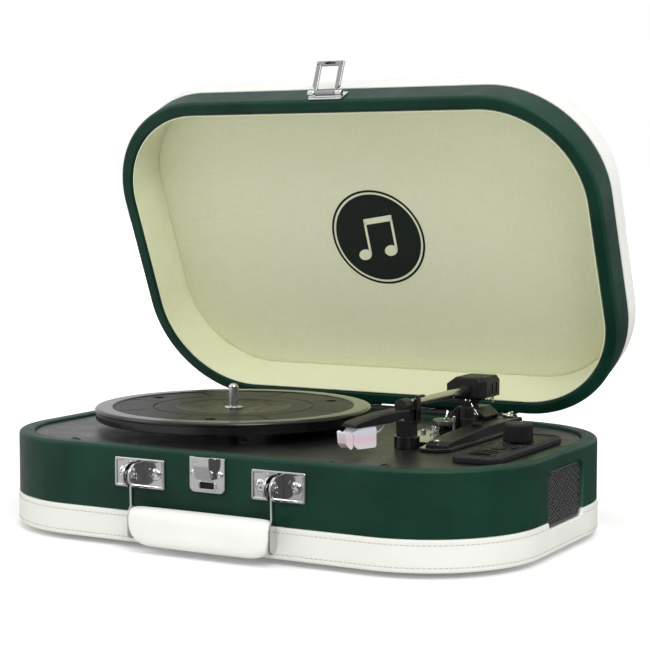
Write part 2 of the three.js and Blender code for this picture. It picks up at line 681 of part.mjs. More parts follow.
function latchPlate() {
  const face = FRONT - HINGE.y - GAP;
  const [pivotY, pivotZ] = [FRONT - HINGE.y + HASP.y, LID_LOW + HASP.z];
  const plate = box([-13.5, face - 1.2, LID_LOW + 0.6], [13.5, face, LID_LOW + 13]);
  const knuckles = [[-13.5, -8.4], [8.4, 13.5]].flatMap(([low, high]) => [
    rodX(pivotY, pivotZ, 2.2, low, high, 14),
    box([low, face - 3, pivotZ - 1.5], [high, face - 0.6, pivotZ + 1.5]),
  ]);
  const bore = rodX(pivotY, pivotZ, 1.3, -15, 15, 12);
  return piece('latch_plate', cut(join(plate, ...knuckles), bore), CHROME);
}

/** The hasp about its own pivot, hanging straight down: a barrel, a windowed frame and a finger tab. */
function latchHasp() {
  const { width, length, t } = HASP;
  const barrel = rodX(0, 0, 2, -8, 8, 14);
  const pin = rodX(0, 0, 1, -13, 13, 12);
  const frame = box([-width / 2, -t / 2, -length], [width / 2, t / 2, -3.2]);
  const neck = box([-7.6, -t / 2, -4], [7.6, t / 2, 0]);
  const window = box([-7, -3, -length + 3.8], [7, 3, -3.4]);
  const tabSide = polygon([
    [t / 2, -length + 3], [-t / 2, -length + 3], [-4.6, -length - 0.8], [-2.6, -length - 0.8],
  ]);
  const tab = sideways(tabSide, -6, 6);
  const body = join(cut(frame, window), barrel, pin, tab, cut(neck, window));
  return piece('latch_hasp', body, CHROME);
}

function lid() {
  const group = new THREE.Group();
  group.position.set(0, HINGE.y, HINGE.z);
  group.rotation.x = -LID_OPEN_DEG * DEG;
  group.add(lidWall(), lidCap(), lidLiner(), lidHingeLeaf(-1), lidHingeLeaf(1), latchPlate());
  const hasp = new THREE.Group();
  hasp.position.set(0, FRONT - HINGE.y + HASP.y, LID_LOW + HASP.z);
  hasp.rotation.x = -HASP.openDeg * DEG;
  hasp.add(latchHasp());
  group.add(hasp);
  return group;
}

// ---- Everything together ----

const player = new THREE.Group();
player.position.y = -MIDDLE_Y;
player.add(caseWall(), baseBand(), bottomPanel(), ...feet());
player.add(deckBoard(), ...deckScrews(), rearSocketPlate(), ...speaker(-1), ...speaker(1));
player.add(platter(), spindle(), spindleClip(), motor(), motorPulley(), driveBelt());
player.add(mechanismPlate(), armTower(), armRest(), armClip(), cueLever(), cueRail());
player.add(armYoke(), pivotBar(), armTube(), armHousing(), head());
player.add(speedLever(), autostopSwitch(), controlPanel(), modeSwitch());
player.add(volumeKnob(), volumePot(), circuitBoard());
player.add(handleBracket(-1), handleBracket(1), handleArm(-1), handleArm(1), handleGrip(), latchCatch());
player.add(...caseHinge(-1), ...caseHinge(1), lid());

export default player;
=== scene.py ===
"""The looks of a suitcase record player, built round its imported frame.

Shapes are drawn in millimetres in a frame of their own and become pieces in metres. The case's own frame
has its origin in the middle of the footprint; the lid and the hasp are drawn closed, about their hinges.
"""

import json
import math

import bmesh
import bpy
from mathutils import Matrix, Vector


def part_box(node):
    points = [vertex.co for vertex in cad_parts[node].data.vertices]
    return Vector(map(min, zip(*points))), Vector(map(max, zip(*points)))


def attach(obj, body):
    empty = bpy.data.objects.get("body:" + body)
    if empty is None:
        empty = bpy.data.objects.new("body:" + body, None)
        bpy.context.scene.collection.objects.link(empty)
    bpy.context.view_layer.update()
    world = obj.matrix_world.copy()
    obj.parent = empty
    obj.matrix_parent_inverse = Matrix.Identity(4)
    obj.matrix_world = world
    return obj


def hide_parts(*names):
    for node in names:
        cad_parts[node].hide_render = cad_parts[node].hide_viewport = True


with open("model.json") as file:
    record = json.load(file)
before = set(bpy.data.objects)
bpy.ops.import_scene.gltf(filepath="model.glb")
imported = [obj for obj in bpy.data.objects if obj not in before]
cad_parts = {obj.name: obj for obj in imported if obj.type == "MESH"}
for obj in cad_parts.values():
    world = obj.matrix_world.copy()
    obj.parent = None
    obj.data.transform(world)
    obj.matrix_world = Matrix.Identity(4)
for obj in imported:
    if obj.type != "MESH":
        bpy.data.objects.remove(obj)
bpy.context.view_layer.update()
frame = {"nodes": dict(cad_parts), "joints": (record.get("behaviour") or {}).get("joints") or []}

MM = 0.001
JOINTS = {joint["name"]: joint for joint in frame["joints"]}


# ---- Frames ----

def joint_place(name):
    return Matrix.Translation(Vector(JOINTS[name]["pos_m"]))


def turn(degrees, axis):
    return Matrix.Rotation(math.radians(degrees), 4, axis)


def shift(x=0.0, y=0.0, z=0.0):
    return Matrix.Translation((x, y, z))


def span(node, place):
    """A CAD node's lowest and highest corners in millimetres, in the given frame."""
    inverse = place.inverted()
    points = [inverse @ vertex.co / MM for vertex in frame["nodes"][node].data.vertices]
    low = Vector([min(point[i] for point in points) for i in range(3)])
    high = Vector([max(point[i] for point in points) for i in range(3)])
    return low, high


wall_low, wall_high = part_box("case_wall")
CASE = shift(0, (wall_low.y + wall_high.y) / 2, 0)
LID_CLOSED = JOINTS["lid_hinge"]["range_deg"][0]
HASP_CLOSED = JOINTS["hasp_hinge"]["range_deg"][0]
LID = joint_place("lid_hinge") @ turn(LID_CLOSED, "X")
HASP = joint_place("hasp_hinge") @ turn(LID_CLOSED + HASP_CLOSED, "X")


def upright(name):
    """A frame on a joint's vertical axis, with heights still measured from the floor."""
    at = Vector(JOINTS[name]["pos_m"])
    return shift(at.x, at.y, 0)


PLATTER = upright("platter_spin")
KNOB = upright("volume_turn")


# ---- Driving dimensions ----

CASE_LOW, CASE_HIGH = span("case_wall", CASE)
WIDTH = CASE_HIGH.x - CASE_LOW.x
DEPTH = CASE_HIGH.y - CASE_LOW.y
FRONT = CASE_LOW.y
CORNER_R = 80.5
WALL = 11.0
RIM_Z = CASE_HIGH.z
CORNER_STEPS = 40
CORNERS = ("front_left", "front_right", "rear_left", "rear_right")

BAND_LOW, BAND_HIGH = span("base_band", CASE)
STITCH_PITCH = 3.4
STITCH_LINES = (BAND_LOW.z + 3.4, BAND_HIGH.z - 3.5)

GRILLE_LOW, GRILLE_HIGH = span("speaker_grille_right", CASE)
GRILLE_MIDDLE = (GRILLE_LOW + GRILLE_HIGH) / 2
WINDOW = (60.0, 37.0)

LID_LOW, LID_HIGH = span("lid_wall", LID)
LID_MIDDLE = (LID_LOW.y + LID_HIGH.y) / 2
CAP_LOW, CAP_HIGH = span("lid_cap", LID)
LINER_FACE = 37.6

PLATTER_HIGH = span("platter", PLATTER)[1]
PLATTER_R = PLATTER_HIGH.x
PLATTER_TOP = PLATTER_HIGH.z
DECK_TOP = span("deck_board", CASE)[1].z

PIVOT = span("arm_tube", CASE)
PIVOT_X = (PIVOT[0].x + PIVOT[1].x) / 2
PIVOT_Z = (PIVOT[0].z + PIVOT[1].z) / 2
HEAD_YAW = 22.0
HEAD_TIP = -47.0
HEAD = CASE @ shift(PIVOT_X * MM, -39 * MM, 0) @ turn(-HEAD_YAW, "Z")

REST_X, REST_Y = 94.5, -28.6
RAIL_X, RAIL_Y = 104.0, 46.0
CUE_X, CUE_Y = 89, 41
YOKE_Y = 65
SHEET_TOP = 67.9
WIRE_R = 0.3

PANEL_LOW, PANEL_HIGH = span("control_panel", CASE)
KNOB_X, KNOB_Y = 160.7, 2.0
BADGE_R = 38.5
PRINT_THICK = 0.2

GRIP_LOW, GRIP_HIGH = span("handle_grip", CASE)
GRIP_MIDDLE = (GRIP_LOW + GRIP_HIGH) / 2
GRIP_WRAP = 1.7
GRIP_SLIMMED = 0.96

HASP_LENGTH = 24.4
HASP_THICK = 1.8
HOOK_REACH = 8.7
HOOK_HALF = 6.2
BARREL_R = 3.2

AMBIENT = 0.72
KEY_POWER, FILL_POWER, TOP_POWER = 21, 5, 6
LENS, SENSOR = 97.75, 36
CAMERA_AT = (0.6102, -1.07515, 0.2397)
CAMERA_LOOK = (-0.48607, 0.87023, -0.08023)


# ---- Outlines ----

def arc(x, y, r, start, end, steps):
    """Points on an arc, its angles in degrees, both ends included."""
    angles = [math.radians(start + (end - start) * i / steps) for i in range(steps + 1)]
    return [(x + r * math.cos(a), y + r * math.sin(a)) for a in angles]


def ellipse(across, up, steps):
    angles = [2 * math.pi * i / steps for i in range(steps)]
    return [(across * math.cos(a), up * math.sin(a)) for a in angles]


def shifted(points, x, y):
    return [(x + point_x, y + point_y) for point_x, point_y in points]


def rounded_rectangle(width, depth, r, steps=8):
    x, y = width / 2 - r, depth / 2 - r
    corners = [(x, y, 0), (-x, y, 90), (-x, -y, 180), (x, -y, 270)]
    return [point for cx, cy, start in corners for point in arc(cx, cy, r, start, start + 90, steps)]


def rounded(corners, steps=4):
    """An outline from (x, y, radius) corners, each rounded to its radius."""
    outline = []
    for i, (x, y, r) in enumerate(corners):
        here = Vector((x, y))
        if r <= 0:
            outline.append((x, y))
            continue
        before = (Vector(corners[i - 1][:2]) - here).normalized()
        after = (Vector(corners[(i + 1) % len(corners)][:2]) - here).normalized()
        half = before.angle(after) / 2
        centre = here + (before + after).normalized() * (r / math.sin(half))
        first = here + before * (r / math.tan(half)) - centre
        last = here + after * (r / math.tan(half)) - centre
        sweep = first.angle_signed(last)
        for k in range(steps + 1):
            spoke = first.copy()
            spoke.rotate(Matrix.Rotation(-sweep * k / steps, 2))
            outline.append(tuple(centre + spoke))
    return outline


def inset(outline, distance):
    """An outline moved inwards; outlines run anticlockwise."""
    moved = []
    for i, here in enumerate(outline):
        here = Vector(here)
        before = here - Vector(outline[i - 1])
        after = Vector(outline[(i + 1) % len(outline)]) - here
        normal_before = Vector((-before.y, before.x)).normalized()
        normal_after = Vector((-after.y, after.x)).normalized()
        middle = (normal_before + normal_after).normalized()
        moved.append(tuple(here + middle * (distance / max(0.3, middle.dot(normal_after)))))
    return moved


# ---- Shapes ----

class Shape:
    """A mesh in the making, in millimetres."""

    def __init__(self, points, faces):
        self.points = [Vector(point) for point in points]
        self.faces = [tuple(face) for face in faces]

    def __add__(self, other):
        offset = len(self.points)
        faces = self.faces + [tuple(i + offset for i in face) for face in other.faces]
        return Shape(self.points + other.points, faces)

    def moved(self, x=0.0, y=0.0, z=0.0):
        step = Vector((x, y, z))
        return Shape([point + step for point in self.points], self.faces)

    def turned(self, degrees, axis):
        matrix = turn(degrees, axis)
        return Shape([matrix @ point for point in self.points], self.faces)

    def sideways(self):
        """A shape drawn flat as (y, z), stood across x."""
        return Shape([(point.z, point.x, point.y) for point in self.points], self.faces)

    def mirrored(self):
        """The same shape on the other side of x = 0."""
        points = [Vector((-point.x, point.y, point.z)) for point in self.points]
        return Shape(points, [face[::-1] for face in self.faces])


def loft(rings, closed=False):
    """A skin over rings of equally many points. Unless it closes on itself, its ends are capped."""
    count = len(rings[0])
    points = [point for ring in rings for point in ring]
    faces = []
    last = len(rings) if closed else len(rings) - 1
    for i in range(last):
        low, high = i * count, (i + 1) % len(rings) * count
        for k in range(count):
            next_k = (k + 1) % count
            faces.append((low + k, low + next_k, high + next_k, high + k))
    if not closed:
        faces.append(tuple(reversed(range(count))))
        faces.append(tuple((len(rings) - 1) * count + k for k in range(count)))
    return Shape(points, faces)


def edge_curve(bevel, steps=3):
    """(inset, drop) pairs up the rounded edge of a plate."""
    angles = [math.pi / 2 * i / steps for i in range(steps + 1)]
    return [(bevel * (1 - math.cos(a)), bevel * (1 - math.sin(a))) for a in angles]


def plate(outline, low, high, bevel=0.4, bottom_bevel=None, steps=3):
    """An outline raised from low to high with rounded edges."""
    if bottom_bevel is None:
        bottom_bevel = bevel
    rings = []
    for away, drop in reversed(edge_curve(bottom_bevel, steps)):
        rings.append([(x, y, low + drop) for x, y in inset(outline, away)])
    for away, drop in edge_curve(bevel, steps):
        rings.append([(x, y, high - drop) for x, y in inset(outline, away)])
    return loft(rings)


def frame_plate(outer, inner, low, high, bevel=0.3):
    """A plate with an opening. Both outlines have equally many points and run anticlockwise."""
    rings = [[(x, y, low) for x, y in outer]]
    edge = edge_curve(bevel)
    rings += [[(x, y, high - drop) for x, y in inset(outer, away)] for away, drop in edge]
    rings += [[(x, y, high - drop) for x, y in inset(inner, -away)] for away, drop in reversed(edge)]
    rings.append([(x, y, low) for x, y in inner])
    return loft(rings, closed=True)


def block(low, high, bevel=0.4):
    """A box between two corners with rounded edges."""
    (x0, y0, z0), (x1, y1, z1) = low, high
    outline = rounded_rectangle(x1 - x0, y1 - y0, min(bevel, (x1 - x0) / 2.01, (y1 - y0) / 2.01), 3)
    return plate(outline, z0, z1, bevel * 0.7).moved((x0 + x1) / 2, (y0 + y1) / 2)


def lathe(profile, segments=48):
    """A turned shape about Z, from (radius, height) points. A profile off the axis closes on itself."""
    rings = []
    for i in range(segments):
        angle = 2 * math.pi * i / segments
        rings.append([(r * math.cos(angle), r * math.sin(angle), z) for r, z in profile])
    closed_profile = profile[0][0] > 0
    count = len(profile)
    faces = []
    for i in range(segments):
        low, high = i * count, (i + 1) % segments * count
        for k in range(count if closed_profile else count - 1):
            next_k = (k + 1) % count
            faces.append((low + k, high + k, high + next_k, low + next_k))
    return Shape([point for ring in rings for point in ring], faces)


def rod(r, low, high, segments=24):
    return lathe([(0, low), (r, low), (r, high), (0, high)], segments)


def pipe(path, radius, sides=8):
    """A round rod along a path, its ends domed. A radius may be one number or one per point."""
    points = [Vector(point) for point in path]
    radii = radius if isinstance(radius, (list, tuple)) else [radius] * len(points)
    heading = (points[1] - points[0]).normalized()
    side = heading.orthogonal().normalized()
    rings = []
    for i, point in enumerate(points):
        ahead = points[min(i + 1, len(points) - 1)] - points[max(i - 1, 0)]
        new_heading = ahead.normalized()
        side = (side - new_heading * side.dot(new_heading)).normalized()
        up = new_heading.cross(side)
        ring = []
        for k in range(sides):
            angle = 2 * math.pi * k / sides
            ring.append(point + (side * math.cos(angle) + up * math.sin(angle)) * radii[i])
        if i == 0:
            rings.append([point + (p - point) * 0.6 - new_heading * radii[i] * 0.4 for p in ring])
        rings.append(ring)
        if i == len(points) - 1:
            rings.append([point + (p - point) * 0.6 + new_heading * radii[i] * 0.4 for p in ring])
    return loft(rings)


def bmesh_of(shape):
    mesh = bmesh.new()
    vertices = [mesh.verts.new(point) for point in shape.points]
    for face in shape.faces:
        distinct = list(dict.fromkeys(face))
        if len(distinct) > 2:
            try:
                mesh.faces.new([vertices[i] for i in distinct])
            except ValueError:
                continue
    bmesh.ops.remove_doubles(mesh, verts=mesh.verts, dist=1e-4)
    bmesh.ops.recalc_face_normals(mesh, faces=mesh.faces)
    return mesh


def scratch_object(shape):
    made = bmesh_of(shape)
    data = bpy.data.meshes.new("scratch")
    made.to_mesh(data)
    made.free()
    thing = bpy.data.objects.new("scratch", data)
    bpy.context.scene.collection.objects.link(thing)
    return thing


def cut(shape, *tools):
    """The shape with other closed shapes taken out of it."""
    body = scratch_object(shape)
    cutters = [scratch_object(tool) for tool in tools]
    for cutter in cutters:
        modifier = body.modifiers.new("cut", "BOOLEAN")
        modifier.operation = "DIFFERENCE"
        modifier.solver = "EXACT"
        modifier.object = cutter
    graph = bpy.context.evaluated_depsgraph_get()
    result = body.evaluated_get(graph).to_mesh()
    points = [vertex.co.copy() for vertex in result.vertices]
    carved = Shape(points, [tuple(face.vertices) for face in result.polygons])
    for thing in [body] + cutters:
        data = thing.data
        bpy.data.objects.remove(thing)
        bpy.data.meshes.remove(data)
    return carved


def piece(name, shape, material, body, place=CASE, replaces=(), sharp=38):
    """A finished piece: a shape in its frame, with its material, riding on a body of the player."""
    made = bmesh_of(shape)
    bmesh.ops.scale(made, vec=(MM, MM, MM), verts=made.verts)
    data = bpy.data.meshes.new(name)
    made.to_mesh(data)
    made.free()
    data.shade_smooth()
    data.set_sharp_from_angle(angle=math.radians(sharp))
    data.materials.append(material)
    thing = bpy.data.objects.new(name, data)
    bpy.context.scene.collection.objects.link(thing)
    thing.matrix_world = place
    even = thing.modifiers.new("even_normals", "WEIGHTED_NORMAL")
    even.keep_sharp = True
    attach(thing, body)
    if replaces:
        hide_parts(*replaces)
    return thing


# ---- Materials ----

class Surface:
    """One material and the nodes behind it. Textures are placed in metres in the piece's own frame."""

    def __init__(self, name):
        self.material = bpy.data.materials.new(name)
        self.material.use_nodes = True
        self.nodes = self.material.node_tree.nodes
        self.links = self.material.node_tree.links
        self.shader = self.nodes["Principled BSDF"]
        self.place = self.nodes.new("ShaderNodeTexCoord").outputs["Object"]

    def connect(self, value, socket):
        if isinstance(value, bpy.types.NodeSocket):
            self.links.new(value, socket)
        elif isinstance(value, tuple) and len(value) == 3 and socket.type == "RGBA":
            socket.default_value = (*value, 1)
        else:
            socket.default_value = value

    def node(self, kind, inputs=(), **settings):
        made = self.nodes.new(kind)
        for key, value in settings.items():
            setattr(made, key, value)
        for key, value in dict(inputs).items():
            self.connect(value, made.inputs[key])
        return made

    def noise(self, size, detail=3.0, stretch=(1, 1, 1), rough=0.55):
        """Cloudy variation whose features are about this many millimetres across."""
        scaled = self.node("ShaderNodeMapping", {"Vector": self.place, "Scale": stretch}).outputs[0]
        inputs = {"Vector": scaled, "Scale": 1 / (size * MM), "Detail": detail, "Roughness": rough}
        return self.node("ShaderNodeTexNoise", inputs).outputs["Fac"]

    def cells(self, size, feature="F1", smooth=0.4):
        inputs = {"Vector": self.place, "Scale": 1 / (size * MM)}
        if feature == "SMOOTH_F1":
            inputs["Smoothness"] = smooth
        return self.node("ShaderNodeTexVoronoi", inputs, feature=feature).outputs["Distance"]

    def ramp(self, value, *stops):
        """Colours or grey values over a 0 to 1 input, from (position, value) stops."""
        made = self.node("ShaderNodeValToRGB", {"Fac": value})
        elements = made.color_ramp.elements
        while len(elements) < len(stops):
            elements.new(0.5)
        for element, (position, colour) in zip(elements, stops):
            element.position = position
            shade = colour if isinstance(colour, tuple) else (colour,) * 3
            element.color = (*shade, 1)
        return made.outputs["Color"]

    def calc(self, operation, a, b=0.0, c=0.0):
        made = self.node("ShaderNodeMath", operation=operation)
        for socket, value in zip(made.inputs, (a, b, c)):
            self.connect(value, socket)
        return made.outputs[0]

    def blend(self, share, a, b):
        made = self.node("ShaderNodeMix", data_type="RGBA")
        self.connect(share, made.inputs[0])
        self.connect(a, made.inputs[6])
        self.connect(b, made.inputs[7])
        return made.outputs[2]

    def height(self, value, depth, strength=1.0):
        """Bumps this many millimetres deep."""
        inputs = {"Height": value, "Distance": depth * MM, "Strength": strength}
        bump = self.node("ShaderNodeBump", inputs)
        previous = self.shader.inputs["Normal"].links
        if previous:
            self.links.new(previous[0].from_socket, bump.inputs["Normal"])
        self.links.new(bump.outputs[0], self.shader.inputs["Normal"])
        return self

    def axis(self, name):
        """One of the piece's own coordinates, in metres."""
        return self.node("ShaderNodeSeparateXYZ", {"Vector": self.place}).outputs[name]

    def edges(self, low=0.5, high=0.56):
        """1 along sharp outer edges, from the surface's pointiness, and 0 elsewhere: it carries edge wear,
        and on the leatherette also a painted edge highlight.
        """
        pointiness = self.node("ShaderNodeNewGeometry").outputs["Pointiness"]
        return self.ramp(pointiness, (low, 0.0), (high, 1.0))

    def set(self, **inputs):
        names = {"colour": "Base Color", "roughness": "Roughness", "metal": "Metallic", "coat": "Coat Weight",
                 "coat_roughness": "Coat Roughness", "sheen": "Sheen Weight",
                 "sheen_roughness": "Sheen Roughness", "specular": "Specular IOR Level",
                 "subsurface": "Subsurface Weight"}
        for key, value in inputs.items():
            self.connect(value, self.shader.inputs[names[key]])
        return self


def srgb(red, green, blue):
    """A colour from 0 to 255 display values."""
    def linear(value):
        share = value / 255
        return share / 12.92 if share <= 0.04045 else ((share + 0.055) / 1.055) ** 2.4
    return (linear(red), linear(green), linear(blue))


def leatherette(name, dark, light, roughness, grain=0.05, size=1.1, edge=None, gloss=0.5):
    """Grained, faintly creased leather cloth wrapped over board, paler along its sharp edges when an edge
    colour is given: partly edge wear, partly a painted edge highlight.
    """
    surface = Surface(name)
    clouds = surface.noise(60, detail=4)
    colour = surface.blend(surface.ramp(clouds, (0.35, 0.0), (0.65, 1.0)), dark, light)
    pores = surface.cells(size, feature="SMOOTH_F1")
    pits = surface.ramp(pores, (0.1, 0.0), (0.7, 1.0))
    colour = surface.blend(surface.calc("MULTIPLY", pits, 0.22), colour, light)
    # Along sharp edges the colour goes towards the edge colour: partly edge wear and partly a painted
    # highlight.
    if edge:
        colour = surface.blend(surface.calc("MULTIPLY", surface.edges(0.52, 0.58), 0.75), colour, edge)
    wear = surface.noise(22, detail=6)
    low, high = roughness
    surface.set(colour=colour, roughness=surface.ramp(wear, (0.3, low), (0.7, high)), specular=gloss)
    surface.height(pits, grain)
    surface.height(surface.noise(9, detail=5), 0.07)
    return surface.material


def weave(name, shade, tint, pitch=0.5, sheen=0.12):
    """Fine plain-woven cloth stretched over board, with faint slubs along both threads."""
    surface = Surface(name)
    x, y, z = (surface.axis(axis) for axis in "XYZ")
    turns = 2 * math.pi / (pitch * MM)
    across = surface.calc("SINE", surface.calc("MULTIPLY", x, turns))
    down = surface.calc("SINE", surface.calc("MULTIPLY", surface.calc("SUBTRACT", y, z), turns))
    threads = surface.calc("MULTIPLY_ADD", surface.calc("MULTIPLY", across, down), 0.5, 0.5)
    slub_across = surface.noise(0.9, detail=3, stretch=(0.07, 1, 1))
    slub_down = surface.noise(0.9, detail=3, stretch=(1, 0.07, 0.07))
    slubs = surface.calc("MULTIPLY", surface.calc("ADD", slub_across, slub_down), 0.5)
    colour = surface.blend(surface.ramp(slubs, (0.3, 0.0), (0.7, 1.0)), shade, tint)
    soiling = surface.ramp(surface.noise(70, detail=4), (0.35, 0.0), (0.7, 0.35))
    colour = surface.blend(soiling, colour, shade)
    colour = surface.blend(surface.calc("MULTIPLY", threads, 0.1), colour, shade)
    surface.set(colour=colour, roughness=0.85, sheen=sheen, sheen_roughness=0.5, specular=0.25)
    surface.height(threads, 0.03)
    surface.height(slubs, 0.05, 0.6)
    return surface.material


def plastic(name, colour, roughness, light=None, texture=0.02, size=0.5, coat=0.0, worn=0.25):
    """Moulded plastic with a fine spark texture, paler on its rubbed edges."""
    surface = Surface(name)
    light = light or tuple(min(1.0, channel * 1.6 + 0.012) for channel in colour)
    clouds = surface.ramp(surface.noise(18, detail=5), (0.35, 0.0), (0.65, 1.0))
    shade = surface.blend(surface.calc("MULTIPLY", clouds, 0.35), colour, light)
    shade = surface.blend(surface.calc("MULTIPLY", surface.edges(0.51, 0.58), worn), shade, light)
    low, high = roughness
    surface.set(colour=shade, roughness=surface.ramp(surface.noise(6, detail=6), (0.3, low), (0.7, high)))
    surface.set(coat=coat, coat_roughness=0.08, specular=0.36)
    surface.height(surface.noise(size, detail=2), texture)
    return surface.material


def metal(name, colour, roughness, brushed=0.0, spots=0.0):
    """Plated or drawn metal with faint handling marks."""
    surface = Surface(name)
    smears = surface.noise(7, detail=6)
    low, high = roughness
    rough = surface.ramp(smears, (0.3, low), (0.75, high))
    dull = tuple(channel * 0.72 for channel in colour)
    scratches = surface.noise(0.6, detail=5, stretch=(0.05, 1, 1))
    tone = surface.blend(surface.ramp(scratches, (0.62, 0.0), (0.8, 0.5)), colour, dull)
    if spots:
        flecks = surface.ramp(surface.noise(1.6, detail=6), (0.6, 0.0), (0.68, spots))
        tone = surface.blend(flecks, tone, (0.16, 0.14, 0.12))
    surface.set(colour=tone, roughness=rough, metal=1.0)
    surface.height(smears, 0.012)
    if brushed:
        surface.height(scratches, brushed)
    return surface.material


def platter_plastic():
    """Moulded plastic: a spark-eroded field between a glossier outer ring and a smoother middle."""
    surface = Surface("platter_plastic")
    x, y = surface.axis("X"), surface.axis("Y")
    squares = surface.calc("ADD", surface.calc("MULTIPLY", x, x), surface.calc("MULTIPLY", y, y))
    radius = surface.calc("DIVIDE", surface.calc("SQRT", squares), PLATTER_R * MM)
    field = surface.ramp(radius, (0.40, 0.6), (0.43, 1.0), (0.865, 1.0), (0.875, 0.0))
    spark = surface.noise(0.9, detail=3)
    rough = surface.calc("MULTIPLY_ADD", field, 0.16, 0.14)
    marks = surface.noise(9, detail=6)
    rough = surface.calc("MULTIPLY_ADD", marks, 0.08, rough)
    colour = surface.blend(surface.calc("MULTIPLY", spark, 0.5), srgb(4, 4, 5), srgb(20, 20, 20))
    ring = surface.ramp(radius, (0.86, 0.1), (0.885, 0.6))
    surface.set(colour=colour, roughness=rough, specular=ring)
    surface.height(surface.calc("MULTIPLY", spark, field), 0.4)
    surface.height(surface.noise(0.35, detail=2), 0.01)
    return surface.material


def circuit_material():
    surface = Surface("circuit_board")
    inputs = {"Vector": surface.place, "Scale": 220.0, "Mortar Size": 0.03, "Mortar": srgb(150, 140, 70),
              "Color1": srgb(24, 92, 52), "Color2": srgb(20, 78, 44)}
    tracks = surface.node("ShaderNodeTexBrick", inputs).outputs["Color"]
    surface.set(colour=tracks, roughness=surface.ramp(surface.noise(4), (0.3, 0.35), (0.7, 0.6)))
    surface.height(surface.noise(2), 0.05)
    return surface.material


def milky_plastic():
    """The cartridge's pearly white plastic, faintly pink low down and blue above."""
    surface = Surface("cartridge_plastic")
    height = surface.node("ShaderNodeMapRange", {
        "Value": surface.axis("Z"), "From Min": 71 * MM, "From Max": 84 * MM}).outputs[0]
    tints = [(0.0, srgb(250, 244, 246)), (0.45, srgb(246, 214, 222)), (0.9, srgb(222, 231, 243))]
    pearl = surface.ramp(height, *tints)
    clouds = surface.noise(5, detail=3)
    colour = surface.blend(surface.calc("MULTIPLY", clouds, 0.4), pearl, srgb(250, 248, 250))
    surface.set(colour=colour, roughness=0.22, subsurface=0.35, coat=0.3, coat_roughness=0.1)
    surface.shader.inputs["Subsurface Radius"].default_value = (0.004, 0.003, 0.003)
    surface.height(surface.noise(1.2), 0.015)
    return surface.material


# The pale green edge colour is partly edge wear and partly a painted highlight along the sharp edges of the
# case and lid.
GREEN = leatherette("green_leatherette", srgb(8, 42, 31), srgb(14, 58, 43), (0.38, 0.52),
                    edge=srgb(96, 150, 124), gloss=0.2)
WHITE = leatherette("white_leatherette", srgb(232, 232, 225), srgb(236, 236, 230), (0.42, 0.56), grain=0.06)
PADDED = leatherette("white_padded_leatherette", srgb(235, 235, 229), srgb(243, 243, 238), (0.36, 0.5))
PEBBLED = leatherette("black_leatherette", srgb(11, 11, 12), srgb(26, 26, 27), (0.26, 0.38),
                      grain=0.16, size=0.95)
CREAM = weave("cream_cloth", srgb(224, 227, 190), srgb(238, 240, 212))
THREAD = weave("white_thread", srgb(196, 195, 186), srgb(214, 213, 205), pitch=0.3)
INK = weave("badge_ink", srgb(22, 30, 27), srgb(34, 44, 39), sheen=0.0)
PLATTER_BLACK = platter_plastic()
BLACK = plastic("black_plastic", srgb(13, 13, 14), (0.3, 0.42))
MATT_BLACK = plastic("matt_black_plastic", srgb(15, 15, 16), (0.42, 0.58), texture=0.04)
# A darker copy of chrome for the brackets, straps and catch: painted shade that dims their reflections.
SHADE_DIMMED_CHROME = metal("shade_dimmed_chrome", (0.6, 0.6, 0.6), (0.08, 0.18), spots=0.3)
GLOSS_BLACK = plastic("gloss_black_plastic", srgb(9, 9, 10), (0.06, 0.14), texture=0.004, coat=0.5)
BLACK_BOARD = plastic("black_board", srgb(24, 23, 22), (0.7, 0.85), texture=0.08, size=1.5)
MESH_BLACK = metal("grille_mesh", (0.24, 0.24, 0.245), (0.25, 0.38))
CHROME = metal("chrome", (0.84, 0.85, 0.86), (0.06, 0.15))
# A darker copy of chrome for the hasp: painted shade for its dim reflections.
SHADED_CHROME = metal("shaded_chrome", (0.4, 0.4, 0.41), (0.1, 0.2), spots=0.4)
STEEL = metal("steel", (0.62, 0.61, 0.6), (0.2, 0.34), brushed=0.02)
BLACK_STEEL = metal("black_steel", (0.045, 0.045, 0.05), (0.22, 0.36))
CUE_GREY = metal("cue_disc", (0.2, 0.2, 0.18), (0.3, 0.45))
TUBE_METAL = metal("tube_metal", (0.74, 0.72, 0.64), (0.16, 0.28), brushed=0.01)
BRASS = metal("brass", (0.75, 0.55, 0.25), (0.2, 0.35))
RUBBER = plastic("rubber", srgb(20, 20, 20), (0.75, 0.9), texture=0.05, size=0.8, worn=0.4)
CIRCUIT = circuit_material()
PEARL = milky_plastic()
MARK_WHITE = plastic("marking_paint", srgb(190, 190, 186), (0.5, 0.65), texture=0.01)


# ---- Small shared shapes ----

def sunk_screw(r, height, slot=0.32):
    """A domed cross-head screw standing on z = 0."""
    dome = [(0, -0.6), (r, -0.6), (r, 0.05 * height)]
    for i in range(1, 7):
        angle = math.pi / 2 * i / 6
        dome.append((r * math.cos(angle), height * (0.05 + 0.95 * math.sin(angle))))
    dome[-1] = (0, height)
    half_length, half_width = r * 0.58, r * slot / 2
    floor = height * 0.42
    bars = [block((-half_length, -half_width, floor), (half_length, half_width, height + 1), 0.05),
            block((-half_width, -half_length, floor), (half_width, half_length, height + 1), 0.05)]
    return cut(lathe(dome, 32), *bars)


def along(outline, pitch):
    """Places at a regular pitch round a closed outline: (x, y, heading in degrees)."""
    sides = [(Vector(outline[i]), Vector(outline[(i + 1) % len(outline)])) for i in range(len(outline))]
    lengths = [(b - a).length for a, b in sides]
    count = round(sum(lengths) / pitch)
    step = sum(lengths) / count
    places, side, gone = [], 0, 0.0
    for i in range(count):
        target = i * step
        while gone + lengths[side] < target:
            gone += lengths[side]
            side += 1
        a, b = sides[side]
        at = a.lerp(b, (target - gone) / max(lengths[side], 1e-9))
        places.append((at.x, at.y, math.degrees(math.atan2(b.y - a.y, b.x - a.x))))
    return places


